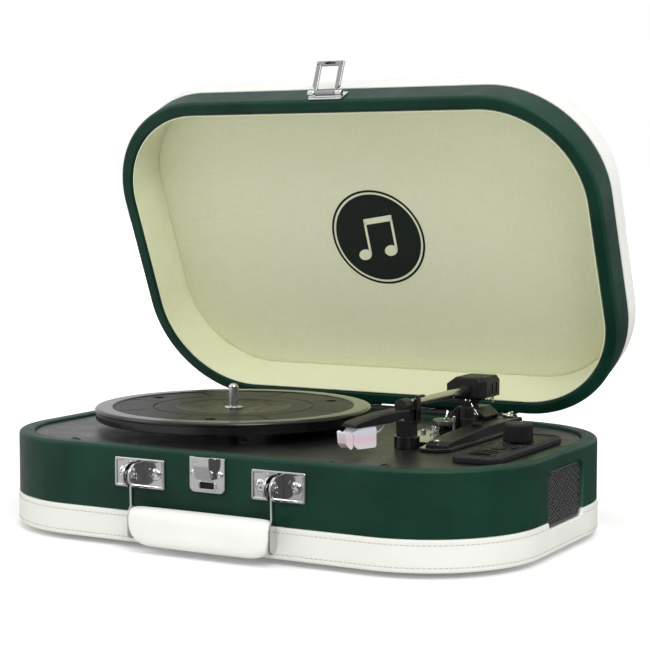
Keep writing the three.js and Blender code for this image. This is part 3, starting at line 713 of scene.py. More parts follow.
def stitches(places, length=2.5, r=0.36, sides=6):
    """Thread lying along a seam: one rounded stitch at each place."""
    half = length / 2
    path = [(-half, 0, 0), (-half * 0.6, 0, 0), (half * 0.6, 0, 0), (half, 0, 0)]
    one = pipe(path, [r * 0.55, r, r, r * 0.55], sides)
    points, faces = [], []
    for x, y, z, heading in places:
        offset = len(points)
        matrix = shift(x, y, z) @ turn(heading, "Z")
        points += [matrix @ point for point in one.points]
        faces += [tuple(i + offset for i in face) for face in one.faces]
    return Shape(points, faces)


# ---- The case ----

def case_outline(away):
    return rounded_rectangle(WIDTH - 2 * away, DEPTH - 2 * away, CORNER_R - away, CORNER_STEPS)


def centre(node):
    """The middle of a CAD node in plan, in the case's frame."""
    low, high = span(node, CASE)
    return (low.x + high.x) / 2, (low.y + high.y) / 2


def finer(outline, pitch):
    """The outline with points added along its long straight sides."""
    points = []
    for (x, y), (next_x, next_y) in zip(outline, outline[1:] + outline[:1]):
        parts = max(1, round(math.dist((x, y), (next_x, next_y)) / pitch))
        points += [(x + (next_x - x) * i / parts, y + (next_y - y) * i / parts) for i in range(parts)]
    return points


def swept(profile, middle_y=0.0, closed=True, pitch=1000):
    """A band round the case's outline, from its (inset, height) section."""
    rings = []
    for away, z in profile:
        rings.append([(x, y + middle_y, z) for x, y in finer(case_outline(away), pitch)])
    return loft(rings, closed)


def window_cutter(side):
    """The grille's opening, flared at the outside so that its edge is rounded."""
    width, height = WINDOW
    face, flared = WIDTH / 2, 1.4
    steps = [(face - 2 * WALL, 0.0), (face - flared, 0.0)]
    for a in (0.4, 0.8, 1.2, math.pi / 2):
        steps.append((face - flared + flared * math.sin(a), flared * (1 - math.cos(a))))
    steps.append((face + 4, flared))
    rings = []
    for x, flare in steps:
        outline = rounded_rectangle(width + 2 * flare, height + 2 * flare, 6 + flare, 8)
        rings.append([(x, GRILLE_MIDDLE.y + u, GRILLE_MIDDLE.z + v) for u, v in outline])
    cutter = loft(rings)
    return cutter if side > 0 else cutter.mirrored()


def build_case_wall():
    """The green wrap. Its outer face is closely divided, so that the edge wear and painted edge highlight
    stay beside the openings.
    """
    socket_low, socket_high = span("rear_socket_plate", CASE)
    rear = DEPTH / 2
    socket_window = block((socket_low.x - 0.3, rear - 2 * WALL, socket_low.z - 0.3),
                          (socket_high.x + 0.3, rear + WALL, socket_high.z + 0.3), 0.5)
    rows = 12
    levels = [(0, CASE_LOW.z + (RIM_Z - CASE_LOW.z) * i / rows, 0) for i in range(1, rows)]
    section = [(0, CASE_LOW.z, 0.5), *levels, (0, RIM_Z, 2.6), (WALL, RIM_Z, 1.6), (WALL, CASE_LOW.z, 0)]
    wall = swept(rounded(section, 6), pitch=7)
    wall = cut(wall, window_cutter(1), window_cutter(-1), socket_window)
    piece("case_wall_wrap", wall, GREEN, "case", replaces=["case_wall"])


def build_base_band():
    """The white band with its two stitched grooves."""
    proud, low, high = -0.6, BAND_LOW.z, BAND_HIGH.z
    section = [(proud, low, 1.8)]
    for z in STITCH_LINES:
        section += [(proud, z - 0.9, 0), (proud + 0.3, z, 0), (proud, z + 0.9, 0)]
    section += [(proud, high, 1.0), (WALL, high, 0), (WALL, low, 0)]
    band = cut(swept(rounded(section, 5)), window_cutter(1), window_cutter(-1))
    piece("base_band_wrap", band, WHITE, "case", replaces=["base_band"])

    places = []
    for x, y, heading in along(case_outline(proud + 0.12), STITCH_PITCH):
        for z in STITCH_LINES:
            at_side = abs(x) > WIDTH / 2 - 2
            by_window = abs(y - GRILLE_MIDDLE.y) < WINDOW[0] / 2 + 3
            if not (at_side and by_window and z > GRILLE_LOW.z - 4):
                places.append((x, y, z, heading))
    piece("base_band_stitching", stitches(places), THREAD, "case")


def build_deck():
    inner, edge = WALL + 0.3, 0.9
    rings = [(inner, DECK_TOP - 5), (inner, DECK_TOP - edge)]
    rings += [(inner + away, DECK_TOP - drop) for away, drop in edge_curve(edge, 4)]
    slab = swept(rings, closed=False)
    through = (50, 80)
    holes = []
    for (x, y), r in [(centre("motor_pulley"), 3.0), ((RAIL_X, RAIL_Y), 3.0), (centre("spindle"), 3.9)]:
        holes.append(rod(r, *through, 32).moved(x, y))
    low, high = (PANEL_LOW.x + 5, PANEL_LOW.y + 10), (PANEL_HIGH.x - 5, PANEL_HIGH.y - 10)
    holes.append(block((*low, through[0]), (*high, through[1]), 0.5))
    piece("deck_cover", cut(slab, *holes), PEBBLED, "case", replaces=["deck_board"])

    for corner in CORNERS:
        node = f"deck_screw_{corner}"
        x, y = centre(node)
        screw = sunk_screw(3.9, 1.35).moved(z=DECK_TOP + 0.3) + rod(1.7, 54, DECK_TOP, 16)
        screw = screw.moved(x, y)
        piece(f"deck_screw_head_{corner}", screw, BLACK_STEEL, "case", replaces=[node])


def build_underside():
    base = plate(case_outline(WALL + 0.3), 5, 9, 0.5)
    slit = plate(rounded_rectangle(36, 2.4, 1.19, 6), 4, 10, 0.01)
    vents = [slit.moved(column, row * 6) for row in range(-3, 4) for column in (-60, 60)]
    piece("bottom_board", cut(base, *vents), BLACK_BOARD, "case", replaces=["bottom_panel"])
    heads = Shape([], [])
    for x, y in [(-150, -60), (150, -60), (-150, 60), (150, 60), (0, -98), (0, 98)]:
        heads += sunk_screw(3.2, 0.9).turned(180, "X").moved(x, y, 4.9)
    piece("bottom_screws", heads, BLACK_STEEL, "case")
    foot = [(0, 4.7), (9.3, 4.7), (9.5, 4.3), (9.5, 1.6), (9.1, 0.7), (8.2, 0.1), (6.2, 0.0), (5.8, 0.3),
            (3.2, 0.5), (2.8, 2.0), (0, 2.0)]
    for corner in CORNERS:
        node = f"foot_{corner}"
        x, y = centre(node)
        piece(f"rubber_foot_{corner}", lathe(foot, 40).moved(x, y), RUBBER, "case", replaces=[node])


def build_sockets():
    low, high = span("rear_socket_plate", CASE)
    rear = DEPTH / 2
    outline = rounded_rectangle(high.x - low.x, high.z - low.z, 1.5, 5)
    middle = (low.z + high.z) / 2
    sockets = plate(outline, 0, 3, 0.5).turned(-90, "X").moved(0, rear - 5, middle)
    rings = Shape([], [])
    for x, r in [(-20, 4), (-6, 4), (16, 3.2)]:
        collar = [(0, 0), (r, 0), (r, 12.6), (r - 0.4, 13.2), (r / 2 + 0.2, 13.4), (r / 2, 13.0),
                  (r / 2, 5), (0, 5)]
        sockets += lathe(collar, 40).turned(-90, "X").moved(x, rear - 13.8, middle)
        ring = [(r - 0.3, 0), (r + 0.35, 0), (r + 0.35, 0.5), (r - 0.3, 0.7), (r - 0.3, 0)]
        rings += lathe(ring, 40).turned(-90, "X").moved(x, rear - 2.05, middle)
    piece("rear_sockets", sockets, BLACK, "case", replaces=["rear_socket_plate"])
    piece("rear_socket_rings", rings, BRASS, "case")


def build_grille(side):
    """Wires woven into long low diamonds in a thin frame, over a dark cloth."""
    name = "right" if side > 0 else "left"
    width, height = GRILLE_HIGH.y - GRILLE_LOW.y, GRILLE_HIGH.z - GRILLE_LOW.z
    half_width, half_height = width / 2 - 0.8, height / 2 - 0.8
    cell_width, cell_height, r, wave = 4.0, 2.4, 0.29, 0.22
    reach = int(half_width / cell_width + half_height / cell_height) + 1
    wires = Shape([], [])
    for rising in (True, False):
        for index in range(-reach, reach + 1):
            path = []
            for step in range(-reach, reach + 1):
                i, j = (step, index) if rising else (index, step)
                u, v = (i + j) * cell_width / 2, (i - j) * cell_height / 2
                if abs(u) < half_width and abs(v) < half_height:
                    path.append((wave if (step % 2 == 0) == rising else -wave, u, v))
            if len(path) > 1:
                wires += pipe(path, r, 5)
    outer = rounded_rectangle(width - 0.1, height - 0.1, 5.7, 8)
    inner = rounded_rectangle(width - 3, height - 3, 4.4, 8)
    surround = frame_plate(outer, inner, 0, 1.4, 0.4).turned(90, "X").turned(90, "Z")
    backing = plate(inset(outer, 1), 0, 0.4, 0.1).turned(90, "X").turned(90, "Z")
    mesh = wires.moved(GRILLE_HIGH.x - 0.75) + surround.moved(GRILLE_HIGH.x - 1.4)
    mesh = mesh.moved(0, GRILLE_MIDDLE.y, GRILLE_MIDDLE.z)
    backing = backing.moved(GRILLE_LOW.x - 0.6, GRILLE_MIDDLE.y, GRILLE_MIDDLE.z)
    if side < 0:
        mesh, backing = mesh.mirrored(), backing.mirrored()
    piece(f"grille_wires_{name}", mesh, MESH_BLACK, "case",
          replaces=[f"speaker_grille_{name}"], sharp=60)
    piece(f"grille_cloth_{name}", backing, BLACK_BOARD, "case")


# ---- The lid, drawn closed about its hinge ----

def build_lid():
    high = LID_HIGH.z
    section = rounded([(0, LID_LOW.z, 2.8), (0, high, 0.5), (9.7, high, 0), (9.7, LID_LOW.z, 2.2)], 6)
    piece("lid_wall_wrap", swept(section, LID_MIDDLE), GREEN, "lid", LID, ["lid_wall"])

    low, top = CAP_LOW.z, CAP_HIGH.z
    roof_inside = top - 2.9
    profile = [(40, roof_inside), (9.7, roof_inside), (9.7, low)]
    profile += [(0.4, low), (-0.35, low + 0.25), (-0.6, low + 1.0)]
    crown_r, steps = 6, 8
    for away, drop in edge_curve(crown_r, steps):
        profile.append((-0.6 + away, top - 0.5 - drop))
    profile += [(14, top - 0.1), (30, top)]
    cap = swept(profile, LID_MIDDLE, closed=False)
    piece("lid_cap_wrap", cap, WHITE, "lid", LID, ["lid_cap"])

    mouth = 1.2
    profile = [(40, roof_inside - 0.3), (10, roof_inside - 0.3), (10, mouth + 0.4), (10.25, mouth)]
    profile += [(10.8, mouth), (WALL, mouth + 0.3)]
    profile += shifted([(WALL, 0.2), (11.25, 0.6), (11.6, 0.55), (12.0, 0.2), (12.8, 0.03), (15, 0), (45, 0)],
                       0, LINER_FACE)
    liner = swept(profile, LID_MIDDLE, closed=False)
    piece("lid_liner_cloth", liner, CREAM, "lid", LID, ["lid_liner"])


def disc(r, low, high, segments=96, bevel=0.08):
    profile = [(0, low), (r, low), (r, high - bevel), (r - bevel, high), (0, high)]
    return lathe(profile, segments)


def build_badge():
    """A printed round badge in the liner: a ring, a disc and a pair of joined notes."""
    def printed(outline):
        return plate(outline, 0.1, 0.34, 0.05, 0.01)

    place = LID @ shift(0, LID_MIDDLE * MM, LINER_FACE * MM) @ turn(180, "X")
    ring = shifted([(-1.7, 0), (0, 0), (0, 0.16), (-0.1, PRINT_THICK), (-1.6, PRINT_THICK), (-1.7, 0.16),
                    (-1.7, 0)], BADGE_R, 0)
    print_shape = lathe(ring, 128) + disc(BADGE_R - 3.4, 0, PRINT_THICK, 128)
    piece("badge_disc", print_shape, INK, "lid", place)
    notes = Shape([], [])
    for x, y in [(-12, -13), (10.5, -9)]:
        notes += printed(ellipse(5.6, 4.2, 40)).turned(24, "Z").moved(x, y)
        notes += printed(rounded_rectangle(1.9, 27, 0.5, 3)).moved(x + 4.7, y + 14)
    beam = rounded([(-8.2, 11.5, 0.4), (16.1, 15.5, 0.4), (16.1, 20.2, 0.4), (-8.2, 16.2, 0.4)], 3)
    notes += printed(beam)
    piece("badge_notes", notes.moved(-1.5, -1.5), CREAM, "lid", place)


# ---- Platter ----

def build_platter():
    r, top = PLATTER_R, PLATTER_TOP
    bore, hub_z, tall = 3.6, 73, 8.6
    bottom = top - tall
    profile = [(bore, hub_z), (9, hub_z), (12, 76), (67, 76), (67, 69.5), (70, 69.5), (70, 76.4)]
    profile.append((r - 4, 76.4))
    profile += shifted([(-4, 0.4), (-3.6, 0), (-0.8, 0), (-0.5, 0.3)], r, bottom)
    rim = [(-0.5, -3.2), (-0.1, -2.9), (0, -2.4), (0, -1.6), (-0.3, -0.9), (-0.9, -0.35), (-2, -0.03),
           (-3, 0), (-10.8, 0), (-11.9, -0.12), (-12.4, -0.5), (-12.6, -1.3), (-13.1, -1.3), (-13.3, -0.75),
           (-13.9, -0.7)]
    field = [(58.2, -0.7), (57.8, -0.85), (57.5, -1.4), (56.9, -1.4), (56.6, -0.85), (56.2, -0.7),
             (41.6, -0.7), (40.4, -0.8), (39.4, -1.1), (34, -1.7), (26, -2.25), (18, -2.6), (12, -2.7),
             (bore, -2.7)]
    profile += shifted(rim, r, top) + shifted(field, 0, top) + [(bore, hub_z)]
    tool = lathe([(0, bottom - 1), (4, bottom - 1), (4, top - 1.2), (4.5, top - 0.69), (4.5, top + 1),
                  (0, top + 1)], 40)
    hole_ring = 75
    holes = []
    for angle in (50, 170, 290):
        x, y = hole_ring * math.cos(math.radians(angle)), hole_ring * math.sin(math.radians(angle))
        holes.append(tool.moved(x, y))
    groove = block((61, -0.55, top - 1.5), (84, 0.55, top + 1), 0.05)
    grooves = [groove.turned(angle + 4, "Z") for angle in range(0, 360, 45)]
    shape = cut(lathe(profile, 180), *holes, *grooves)
    piece("platter_disc", shape, PLATTER_BLACK, "platter", PLATTER, ["platter"], sharp=32)


def build_spindle():
    r, top = 3.55, span("spindle", PLATTER)[1].z
    profile = [(0, 44), (12, 44), (12, 47), (r, 47)]
    profile += shifted([(0, -1.2), (-0.5, -0.7), (-0.5, 0), (0, 0.5)], r, PLATTER_TOP)
    profile += shifted([(0, -2.6), (-0.25, -1.7), (-0.9, -0.8), (-1.8, -0.25), (-2.8, 0), (-r, 0)], r, top)
    piece("spindle_pin", lathe(profile, 48), STEEL, "case", PLATTER, ["spindle"])
    clip_low, clip_high = span("spindle_clip", PLATTER)
    steps, steps_per_side = 64, 4
    tips, roots = ellipse(6.6, 6.6, steps), ellipse(5.5, 5.5, steps)
    washer = [tips[i] if (i // steps_per_side) % 2 == 0 else roots[i] for i in range(steps)]
    clip = frame_plate(washer, ellipse(3.78, 3.78, steps), clip_low.z, clip_high.z, 0.15)
    piece("spindle_washer", clip, CHROME, "platter", PLATTER, ["spindle_clip"])


# ---- Front hardware ----

def on_front(shape):
    """A shape drawn flat, with x right and y up, stood against the case's front."""
    return shape.turned(90, "X")


def raised_plate(width, height, r, thick, border, field_drop):
    """A pressed plate: a rounded raised border round a lower field."""
    outer = rounded_rectangle(width, height, r, 6)
    rings = [[(x, y, 0) for x, y in outer], [(x, y, thick * 0.5) for x, y in outer]]
    for away, z in [(0.25, thick * 0.85), (0.7, thick), (border - 0.5, thick),
                    (border, thick - field_drop * 0.5), (border + 0.35, thick - field_drop)]:
        smaller = rounded_rectangle(width - 2 * away, height - 2 * away, max(r - away, 0.25), 6)
        rings.append([(x, y, z) for x, y in smaller])
    return loft(rings)


def build_bracket(side):
    """The raised plate with its two cheeks, their pin and rivets, a dark block that paints the shade between
    the cheeks, and the plate's two screws.
    """
    name = "right" if side > 0 else "left"
    low, high = span(f"handle_bracket_{name}", CASE)
    arm_low, arm_high = span(f"handle_arm_{name}", CASE)
    at_x, at_z = (low.x + high.x) / 2, (low.z + high.z) / 2
    pivot = CASE.inverted() @ Vector(JOINTS["handle_hinge"]["pos_m"]) / MM
    base = raised_plate(high.x - low.x, high.z - low.z, 1.6, 1.5, 2.0, 0.7)
    body = on_front(base).moved(at_x, FRONT - 0.05, at_z)
    arm_x = (arm_low.x + arm_high.x) / 2
    gap = (arm_high.x - arm_low.x) / 2 + 0.5
    r, cheek_thick = 8.2, 2.0
    outline = [(FRONT - 1, pivot.z - r), (FRONT - 1, pivot.z + r)] + arc(pivot.y + 1, pivot.z, r, 90, 270, 20)
    cheek = plate(outline, 0, cheek_thick, 0.5).sideways()
    rivet = lathe([(0, -0.4), (2.6, -0.4), (2.6, 0.15), (2.0, 0.55), (0, 0.7)], 28)
    for hand in (-1, 1):
        start = arm_x + gap if hand > 0 else arm_x - gap - cheek_thick
        cap_x = start + cheek_thick if hand > 0 else start
        body += cheek.moved(start)
        body += rivet.turned(90 * hand, "Y").moved(cap_x, pivot.y, pivot.z)
    body += rod(1.4, -gap - 1, gap + 1).turned(90, "Y").moved(arm_x, pivot.y, pivot.z)
    piece(f"bracket_plate_{name}", body, SHADE_DIMMED_CHROME, "case", replaces=[f"handle_bracket_{name}"])
    # A black rubber block between the cheeks: painted shade for the dark tunnel under the strap's eye.
    up = r - 0.6
    shade = block((arm_x - gap, FRONT - 1.7, pivot.z - up), (arm_x + gap, FRONT - 0.7, pivot.z + up), 0.3)
    piece(f"bracket_painted_shade_{name}", shade, RUBBER, "case")
    heads = Shape([], [])
    for x, spin in [(-12.6, 20), (12.8, 65)]:
        heads += on_front(sunk_screw(4.1, 2.1).turned(spin, "Z")).moved(at_x + x, FRONT - 0.8, at_z)
    piece(f"bracket_screws_{name}", heads, CHROME, "case")
    build_strap(name, arm_x, pivot)


def build_strap(name, arm_x, pivot):
    """The flat metal arm from the bracket's pin to the grip: narrow at its neck and wide at the grip."""
    grip_y, grip_z = GRIP_MIDDLE.y, GRIP_MIDDLE.z
    neck, end = 1.6, 4.6
    outline = arc(pivot.y, pivot.z, 3.5, -55, 235, 24) + [(pivot.y - neck, grip_z + 13)]
    outline += [(grip_y - end * 0.8, grip_z + 9.5), (grip_y - end, grip_z + 6.5)]
    outline += arc(grip_y, grip_z - 4.2, end, 180, 360, 16)
    outline += [(grip_y + end, grip_z + 6.5), (grip_y + end * 0.8, grip_z + 9.5)]
    outline.append((pivot.y + neck, grip_z + 13))
    strip = cut(plate(outline, -0.85, 0.85, 0.35), rod(1.7, -3, 3, 32).moved(pivot.y, pivot.z))
    arm = strip.sideways().moved(arm_x)
    piece(f"handle_strap_{name}", arm, SHADE_DIMMED_CHROME, "handle", replaces=[f"handle_arm_{name}"])


def apply_modifiers(thing):
    graph = bpy.context.evaluated_depsgraph_get()
    data = bpy.data.meshes.new_from_object(thing.evaluated_get(graph))
    thing.modifiers.clear()
    thing.data = data
    return thing


def grip_section(t):
    """The grip's section at a share t of its half-length, smaller and rounder towards its end."""
    taper = 1 - 0.08 * t ** 4
    depth = (GRIP_HIGH.y - GRIP_LOW.y) * GRIP_SLIMMED * taper
    height = (GRIP_HIGH.z - GRIP_LOW.z) * GRIP_SLIMMED
    rise_from, rise = 0.7, 10.5
    low_rise = 0.0
    if t > rise_from:
        share = (t - rise_from) / (1 - rise_from)
        low_rise = rise * (1 - math.sqrt(max(0.0, 1 - share ** 2)))
    outline = rounded_rectangle(depth, height - low_rise, min(depth, height - low_rise) / 2 * 0.86, 8)
    return [(y, z + low_rise / 2) for y, z in outline]


def blow_up(form):
    """A short cloth simulation under air pressure, its result kept in the mesh."""
    cloth = form.modifiers.new("cloth", "CLOTH")
    settings = cloth.settings
    settings.quality = 6
    settings.use_pressure = True
    settings.uniform_pressure_force = 4
    settings.tension_stiffness = 25
    settings.compression_stiffness = 25
    settings.shear_stiffness = 8
    settings.effector_weights.gravity = 0
    cloth.collision_settings.use_collision = False
    scene = bpy.context.scene
    for step in range(1, 15):
        scene.frame_set(step)
    apply_modifiers(form)
    scene.frame_set(1)


def build_grip():
    """The padded grip: a tube of leather cloth blown up by a short cloth simulation, then sewn."""
    half = (GRIP_HIGH.x - GRIP_LOW.x) / 2 + GRIP_WRAP
    stations = [-1, -0.985, -0.95, -0.9, -0.84, -0.76, -0.66, -0.5, -0.25, 0]
    stations += [-s for s in reversed(stations[:-1])]
    rings = []
    for s in stations:
        outline = grip_section(abs(s))
        if abs(s) == 1:
            outline = inset(outline, 1.6)
        rings.append([(s * (half - 0.6), y, z) for y, z in outline])
    form = scratch_object(loft(rings))
    form.name = "grip_form"
    for vertex in form.data.vertices:
        vertex.co *= MM
    remesh = form.modifiers.new("even", "REMESH")
    remesh.mode = "VOXEL"
    remesh.voxel_size = 0.0022
    apply_modifiers(form)
    start = [vertex.co.copy() for vertex in form.data.vertices]
    blow_up(form)
    cap = 1.1 * MM
    for vertex, home in zip(form.data.vertices, start):
        away = vertex.co - home
        if away.length > cap:
            vertex.co = home + away.normalized() * cap
    wrap = Vector((GRIP_WRAP, 0, 0))
    low, high = (GRIP_LOW - GRIP_MIDDLE - wrap) * MM, (GRIP_HIGH - GRIP_MIDDLE + wrap) * MM
    for vertex in form.data.vertices:
        crease = 0.35 * MM * math.exp(-((abs(vertex.co.x) - half * MM * 0.93) / (1.6 * MM)) ** 2)
        toward = Vector((0, vertex.co.y, vertex.co.z))
        if toward.length:
            vertex.co -= toward.normalized() * crease
        for i in range(3):
            vertex.co[i] = max(low[i] + 0.1 * MM, min(high[i] - 0.1 * MM, vertex.co[i]))
    smooth = form.modifiers.new("smooth", "SMOOTH")
    smooth.iterations = 3
    smooth.factor = 0.5
    fine = form.modifiers.new("fine", "SUBSURF")
    fine.levels = fine.render_levels = 1
    apply_modifiers(form)
    form.data.shade_smooth()
    form.data.materials.clear()
    form.data.materials.append(PADDED)
    form.name = "grip_pad"
    form.matrix_world = CASE @ Matrix.Translation(GRIP_MIDDLE * MM)
    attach(form, "handle")
    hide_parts("handle_grip")
    return form


def build_grip_seam(pad):
    """A sewn seam along the back of the grip, laid on the finished pad."""
    bpy.context.view_layer.update()
    half = (GRIP_HIGH.x - GRIP_LOW.x) / 2
    places = []
    count = int(2 * (half - 7) / STITCH_PITCH)
    path = []
    for i in range(count + 1):
        x = -(half - 7) + i * STITCH_PITCH
        found, at, *_ = pad.ray_cast(Vector((x * MM, 0.05, -0.002)), Vector((0, -1, 0)))
        if found:
            places.append((at.x / MM, at.y / MM + 0.02, at.z / MM, 0))
            path.append((at.x / MM, at.y / MM - 0.15, at.z / MM - 1.2))
    place = CASE @ Matrix.Translation(GRIP_MIDDLE * MM)
    piece("grip_stitching", stitches(places, 2.4, 0.3), THREAD, "handle", place)
    piece("grip_seam_lip", pipe(path, 0.4, 6), PADDED, "handle", place)


def build_catch():
    low, high = span("latch_catch", CASE)
    width, height = high.x - low.x, high.z - 1 - low.z
    middle = low.z + height / 2
    x, y = width / 2, height / 2
    corners = [(-x, -y, 4.2), (x, -y, 4.2), (x, y, 0.8), (-x, y, 0.8)]
    base = plate(rounded(corners, 6), 0, 1.5, 0.5, 0.1)
    slot = plate(rounded_rectangle(10.6, 4.2, 0.5, 3), -2, 4, 0.01)
    lip_outer = rounded_rectangle(14.4, 6.6, 3.2, 8)
    lip_inner = rounded_rectangle(11.4, 4.6, 1.4, 8)
    slot_y = 46.6 - middle
    body = cut(base, slot.moved(0, slot_y + 0.2))
    body += frame_plate(lip_outer, lip_inner, 1.2, 1.9, 0.3).moved(0, slot_y)
    body = on_front(body).moved(0, FRONT - 0.05, middle)
    hook_low, hook_high = 51, 66
    front = FRONT - HOOK_REACH
    side = [(FRONT - 1, hook_low, 0), (FRONT - 1, hook_high - 2, 0.6), (front + 2.4, hook_high, 0.5),
            (front, hook_high, 0.6), (front, hook_high - 6, 1.2), (front + 3, hook_low, 0.8)]
    body += plate(rounded(side, 4), -HOOK_HALF, HOOK_HALF, 0.6).sideways()
    piece("catch_plate", body, SHADE_DIMMED_CHROME, "case", replaces=["latch_catch"])
    heads = Shape([], [])
    for x, spin in [(-9.8, 10), (9.8, 50)]:
        heads += on_front(sunk_screw(2.5, 1.4).turned(spin, "Z")).moved(x, FRONT - 1.5, 54.2)
    piece("catch_screws", heads, CHROME, "case")
    # A matt black sheet behind the slot: painted shade for the hollow behind the catch.
    dark = on_front(plate(rounded_rectangle(10.8, 4.4, 0.5, 3), 0, 0.5, 0.1)).moved(0, FRONT + 0.3, 46.8)
    piece("catch_slot_painted_shade", dark, BLACK_BOARD, "case")


def knuckle(bore, r, start, end, edge):
    """A hinge barrel lying along x, hollow inside."""
    profile = [(bore, start), (r - 0.2, start), (r, start + edge)]
    profile += [(r, end - edge), (r - 0.2, end), (bore, end)]
    return lathe([*profile, (bore, start)], 32).turned(90, "Y")


def build_latch_plate():
    low, high = span("latch_plate", LID)
    hasp_at = LID.inverted() @ Vector(JOINTS["hasp_hinge"]["pos_m"]) / MM
    face = high.y
    sheet = plate(rounded_rectangle(27, high.z - low.z - 0.4, 1.0, 5), 0, 1.2, 0.4, 0.1)
    body = on_front(sheet).moved(0, face, (low.z + high.z) / 2)
    for sign in (-1, 1):
        start, end = sorted((sign * 13.5, sign * 8.4))
        body += knuckle(1.3, 2.2, start, end, 0.25).moved(0, hasp_at.y, hasp_at.z)
        web_low, web_high = (start + 0.1, hasp_at.y + 1.4), (end - 0.1, face - 0.6)
        body += block((*web_low, hasp_at.z - 1.4), (*web_high, hasp_at.z + 1.4), 0.4)
    piece("latch_plate_chrome", body, CHROME, "lid", LID, ["latch_plate"])
    heads = Shape([], [])
    for x in (-9.6, 9.6):
        heads += on_front(sunk_screw(2.1, 1.0)).moved(x, face - 1.15, high.z - 3)
    piece("latch_plate_screws", heads, CHROME, "lid", LID)


def build_hasp():
    """The hasp hanging closed: side bars, an end bar with an opening, a hooked tab, and its barrel."""
    low, thick = -HASP_LENGTH, HASP_THICK / 2
    side = [(7.0, low + 2.8, 0.4), (11.0, low + 0.6, 1.2), (11.0, -5.0, 0.8), (8.2, -1.2, 0.8),
            (7.0, -1.2, 0.5)]
    bar = on_front(plate(rounded(side, 4), -thick, thick, 0.5))
    end = rounded([(-11, low, 1.0), (11, low, 1.0), (11, low + 3.7, 0.8), (-11, low + 3.7, 0.8)], 4)
    eye = []
    for across, up in ellipse(1, 1.1, 36):
        eye.append((math.copysign(4.6 * abs(across) ** 0.9, across), up))
    end_bar = cut(plate(end, -thick, thick, 0.5), plate(eye, -3, 3, 0.01).moved(0, low + 1.9))
    tab = [(0.9, low + 2.6, 0.3), (-0.9, low + 3, 0.4), (-4.6, low - 0.7, 0.5), (-2.6, low - 0.7, 0.3)]
    hasp = bar.mirrored() + bar + on_front(end_bar)
    hasp += plate(rounded(tab, 3), -6, 6, 0.35).sideways()
    hasp += lathe([(0, -8), (1.8, -8), (2.0, -7.8), (2.0, 7.8), (1.8, 8), (0, 8)], 32).turned(90, "Y")
    hasp += lathe([(0, -13), (0.8, -13), (1.0, -12.8), (1.0, 12.8), (0.8, 13), (0, 13)], 24).turned(90, "Y")
    piece("hasp_frame", hasp, SHADED_CHROME, "hasp", HASP, ["latch_hasp"])


def build_hinge(side, kind, place):
    """One leaf with its knuckles and screws; the two kinds of leaf share one pin."""
    name = "right" if side > 0 else "left"
    node = f"hinge_leaf_{kind}_{name}"
    low, high = span(node, place)
    pin = place.inverted() @ Vector(JOINTS["lid_hinge"]["pos_m"]) / MM
    x, wall_y = (low.x + high.x) / 2, low.y
    half, leaf_thick, clear = (high.x - low.x) / 2, 1.6, 0.1
    if kind == "case":
        near_low, near_high = low.z, pin.z - BARREL_R - clear
        webs = (near_high - 0.5, pin.z - 2)
        to_middle = abs(x) - 0.3
        outer, inner = (half, -to_middle) if side > 0 else (-half, to_middle)
        knuckles = [(inner, -17), (17, outer)] if side > 0 else [(outer, -17), (17, inner)]
    else:
        near_low, near_high = pin.z + BARREL_R + clear, high.z
        webs = (pin.z + 2, near_low + 0.5)
        knuckles = [(-16.7, 16.7)]
    middle_z = (near_low + near_high) / 2
    outline = rounded_rectangle(2 * half, near_high - near_low, 1.2, 5)
    leaf = plate(outline, 0, leaf_thick, 0.4, 0.1).turned(-90, "X").moved(x, wall_y, middle_z)
    for start, end in knuckles:
        leaf += knuckle(1.5, BARREL_R, start, end, 0.2).moved(x, pin.y, pin.z)
        leaf += block((x + start + 0.1, wall_y, webs[0]), (x + end - 0.1, wall_y + 1.4, webs[1]), 0.3)
    piece(f"hinge_plate_{kind}_{name}", leaf, MATT_BLACK, kind, place, [node])
    heads = Shape([], [])
    for offset in (-42, -14, 14, 42):
        heads += sunk_screw(2.2, 0.8).turned(-90, "X").moved(x + offset, wall_y + leaf_thick - 0.05, middle_z)
    piece(f"hinge_screws_{kind}_{name}", heads, STEEL, kind, place)


# ---- The arm ----

def build_mechanism():
    """The black plate under the arm, its long raised rail and its small steel fittings."""
    outline = rounded([(109, -40, 1), (122, -40, 2), (128, -34, 2), (128, 96, 2), (72, 96, 2), (72, 12, 2),
                       (80, 4, 2), (84, -15, 1.5), (103, -15, 1)], 4)
    sheet = cut(plate(outline, DECK_TOP + 0.3, SHEET_TOP, 0.5), rod(3, 60, 72).moved(RAIL_X, RAIL_Y))
    side = rounded([(-33, 66, 0.2), (92, 66, 0.2), (92, 74.2, 1.6), (35, 74.8, 20), (-2, 73.2, 20),
                    (-28, 71.2, 2), (-33, 69.4, 0.6)], 4)
    piece("mechanism_rail", plate(side, 110, 126, 0.9).sideways(), BLACK, "case")
    stand = [(0, 66), (4.4, 66), (4.4, 68.4), (3.4, 69.2), (3.4, 71.6), (3.2, 71.8), (0, 71.8)]
    sheet += lathe(stand, 32).moved(CUE_X, CUE_Y)
    piece("mechanism_base", sheet, GLOSS_BLACK, "case", replaces=["mechanism_plate"])

    fittings = Shape([], [])
    for x, y, r, high in [(97, 39.5, 1.3, 79), (93.5, 47, 1.0, 76), (80, 26, 1.7, 70.4), (80, 70, 1.7, 70.4)]:
        pin = [(0, 67.5), (r, 67.5), (r, high - 0.8), (r * 0.7, high - 0.2), (0, high)]
        fittings += lathe(pin, 24).moved(x, y)
    for x, y, level in [(76.5, 90, 67.8), (104, 90, 67.8), (116, -28, 71.6)]:
        fittings += sunk_screw(2.2, 1.1).moved(x, y, level)
    piece("mechanism_fittings", fittings + spring(), STEEL, "case")


def spring():
    """The small coil spring lying on the plate."""
    turns, r, steps = 11, 1.5, 140
    coil = []
    for i in range(steps):
        share = i / (steps - 1)
        angle = 2 * math.pi * turns * share
        coil.append((84 + r * math.cos(angle), 30 + 22 * share, 70.3 + r * math.sin(angle)))
    return pipe(coil, 0.28, 6)


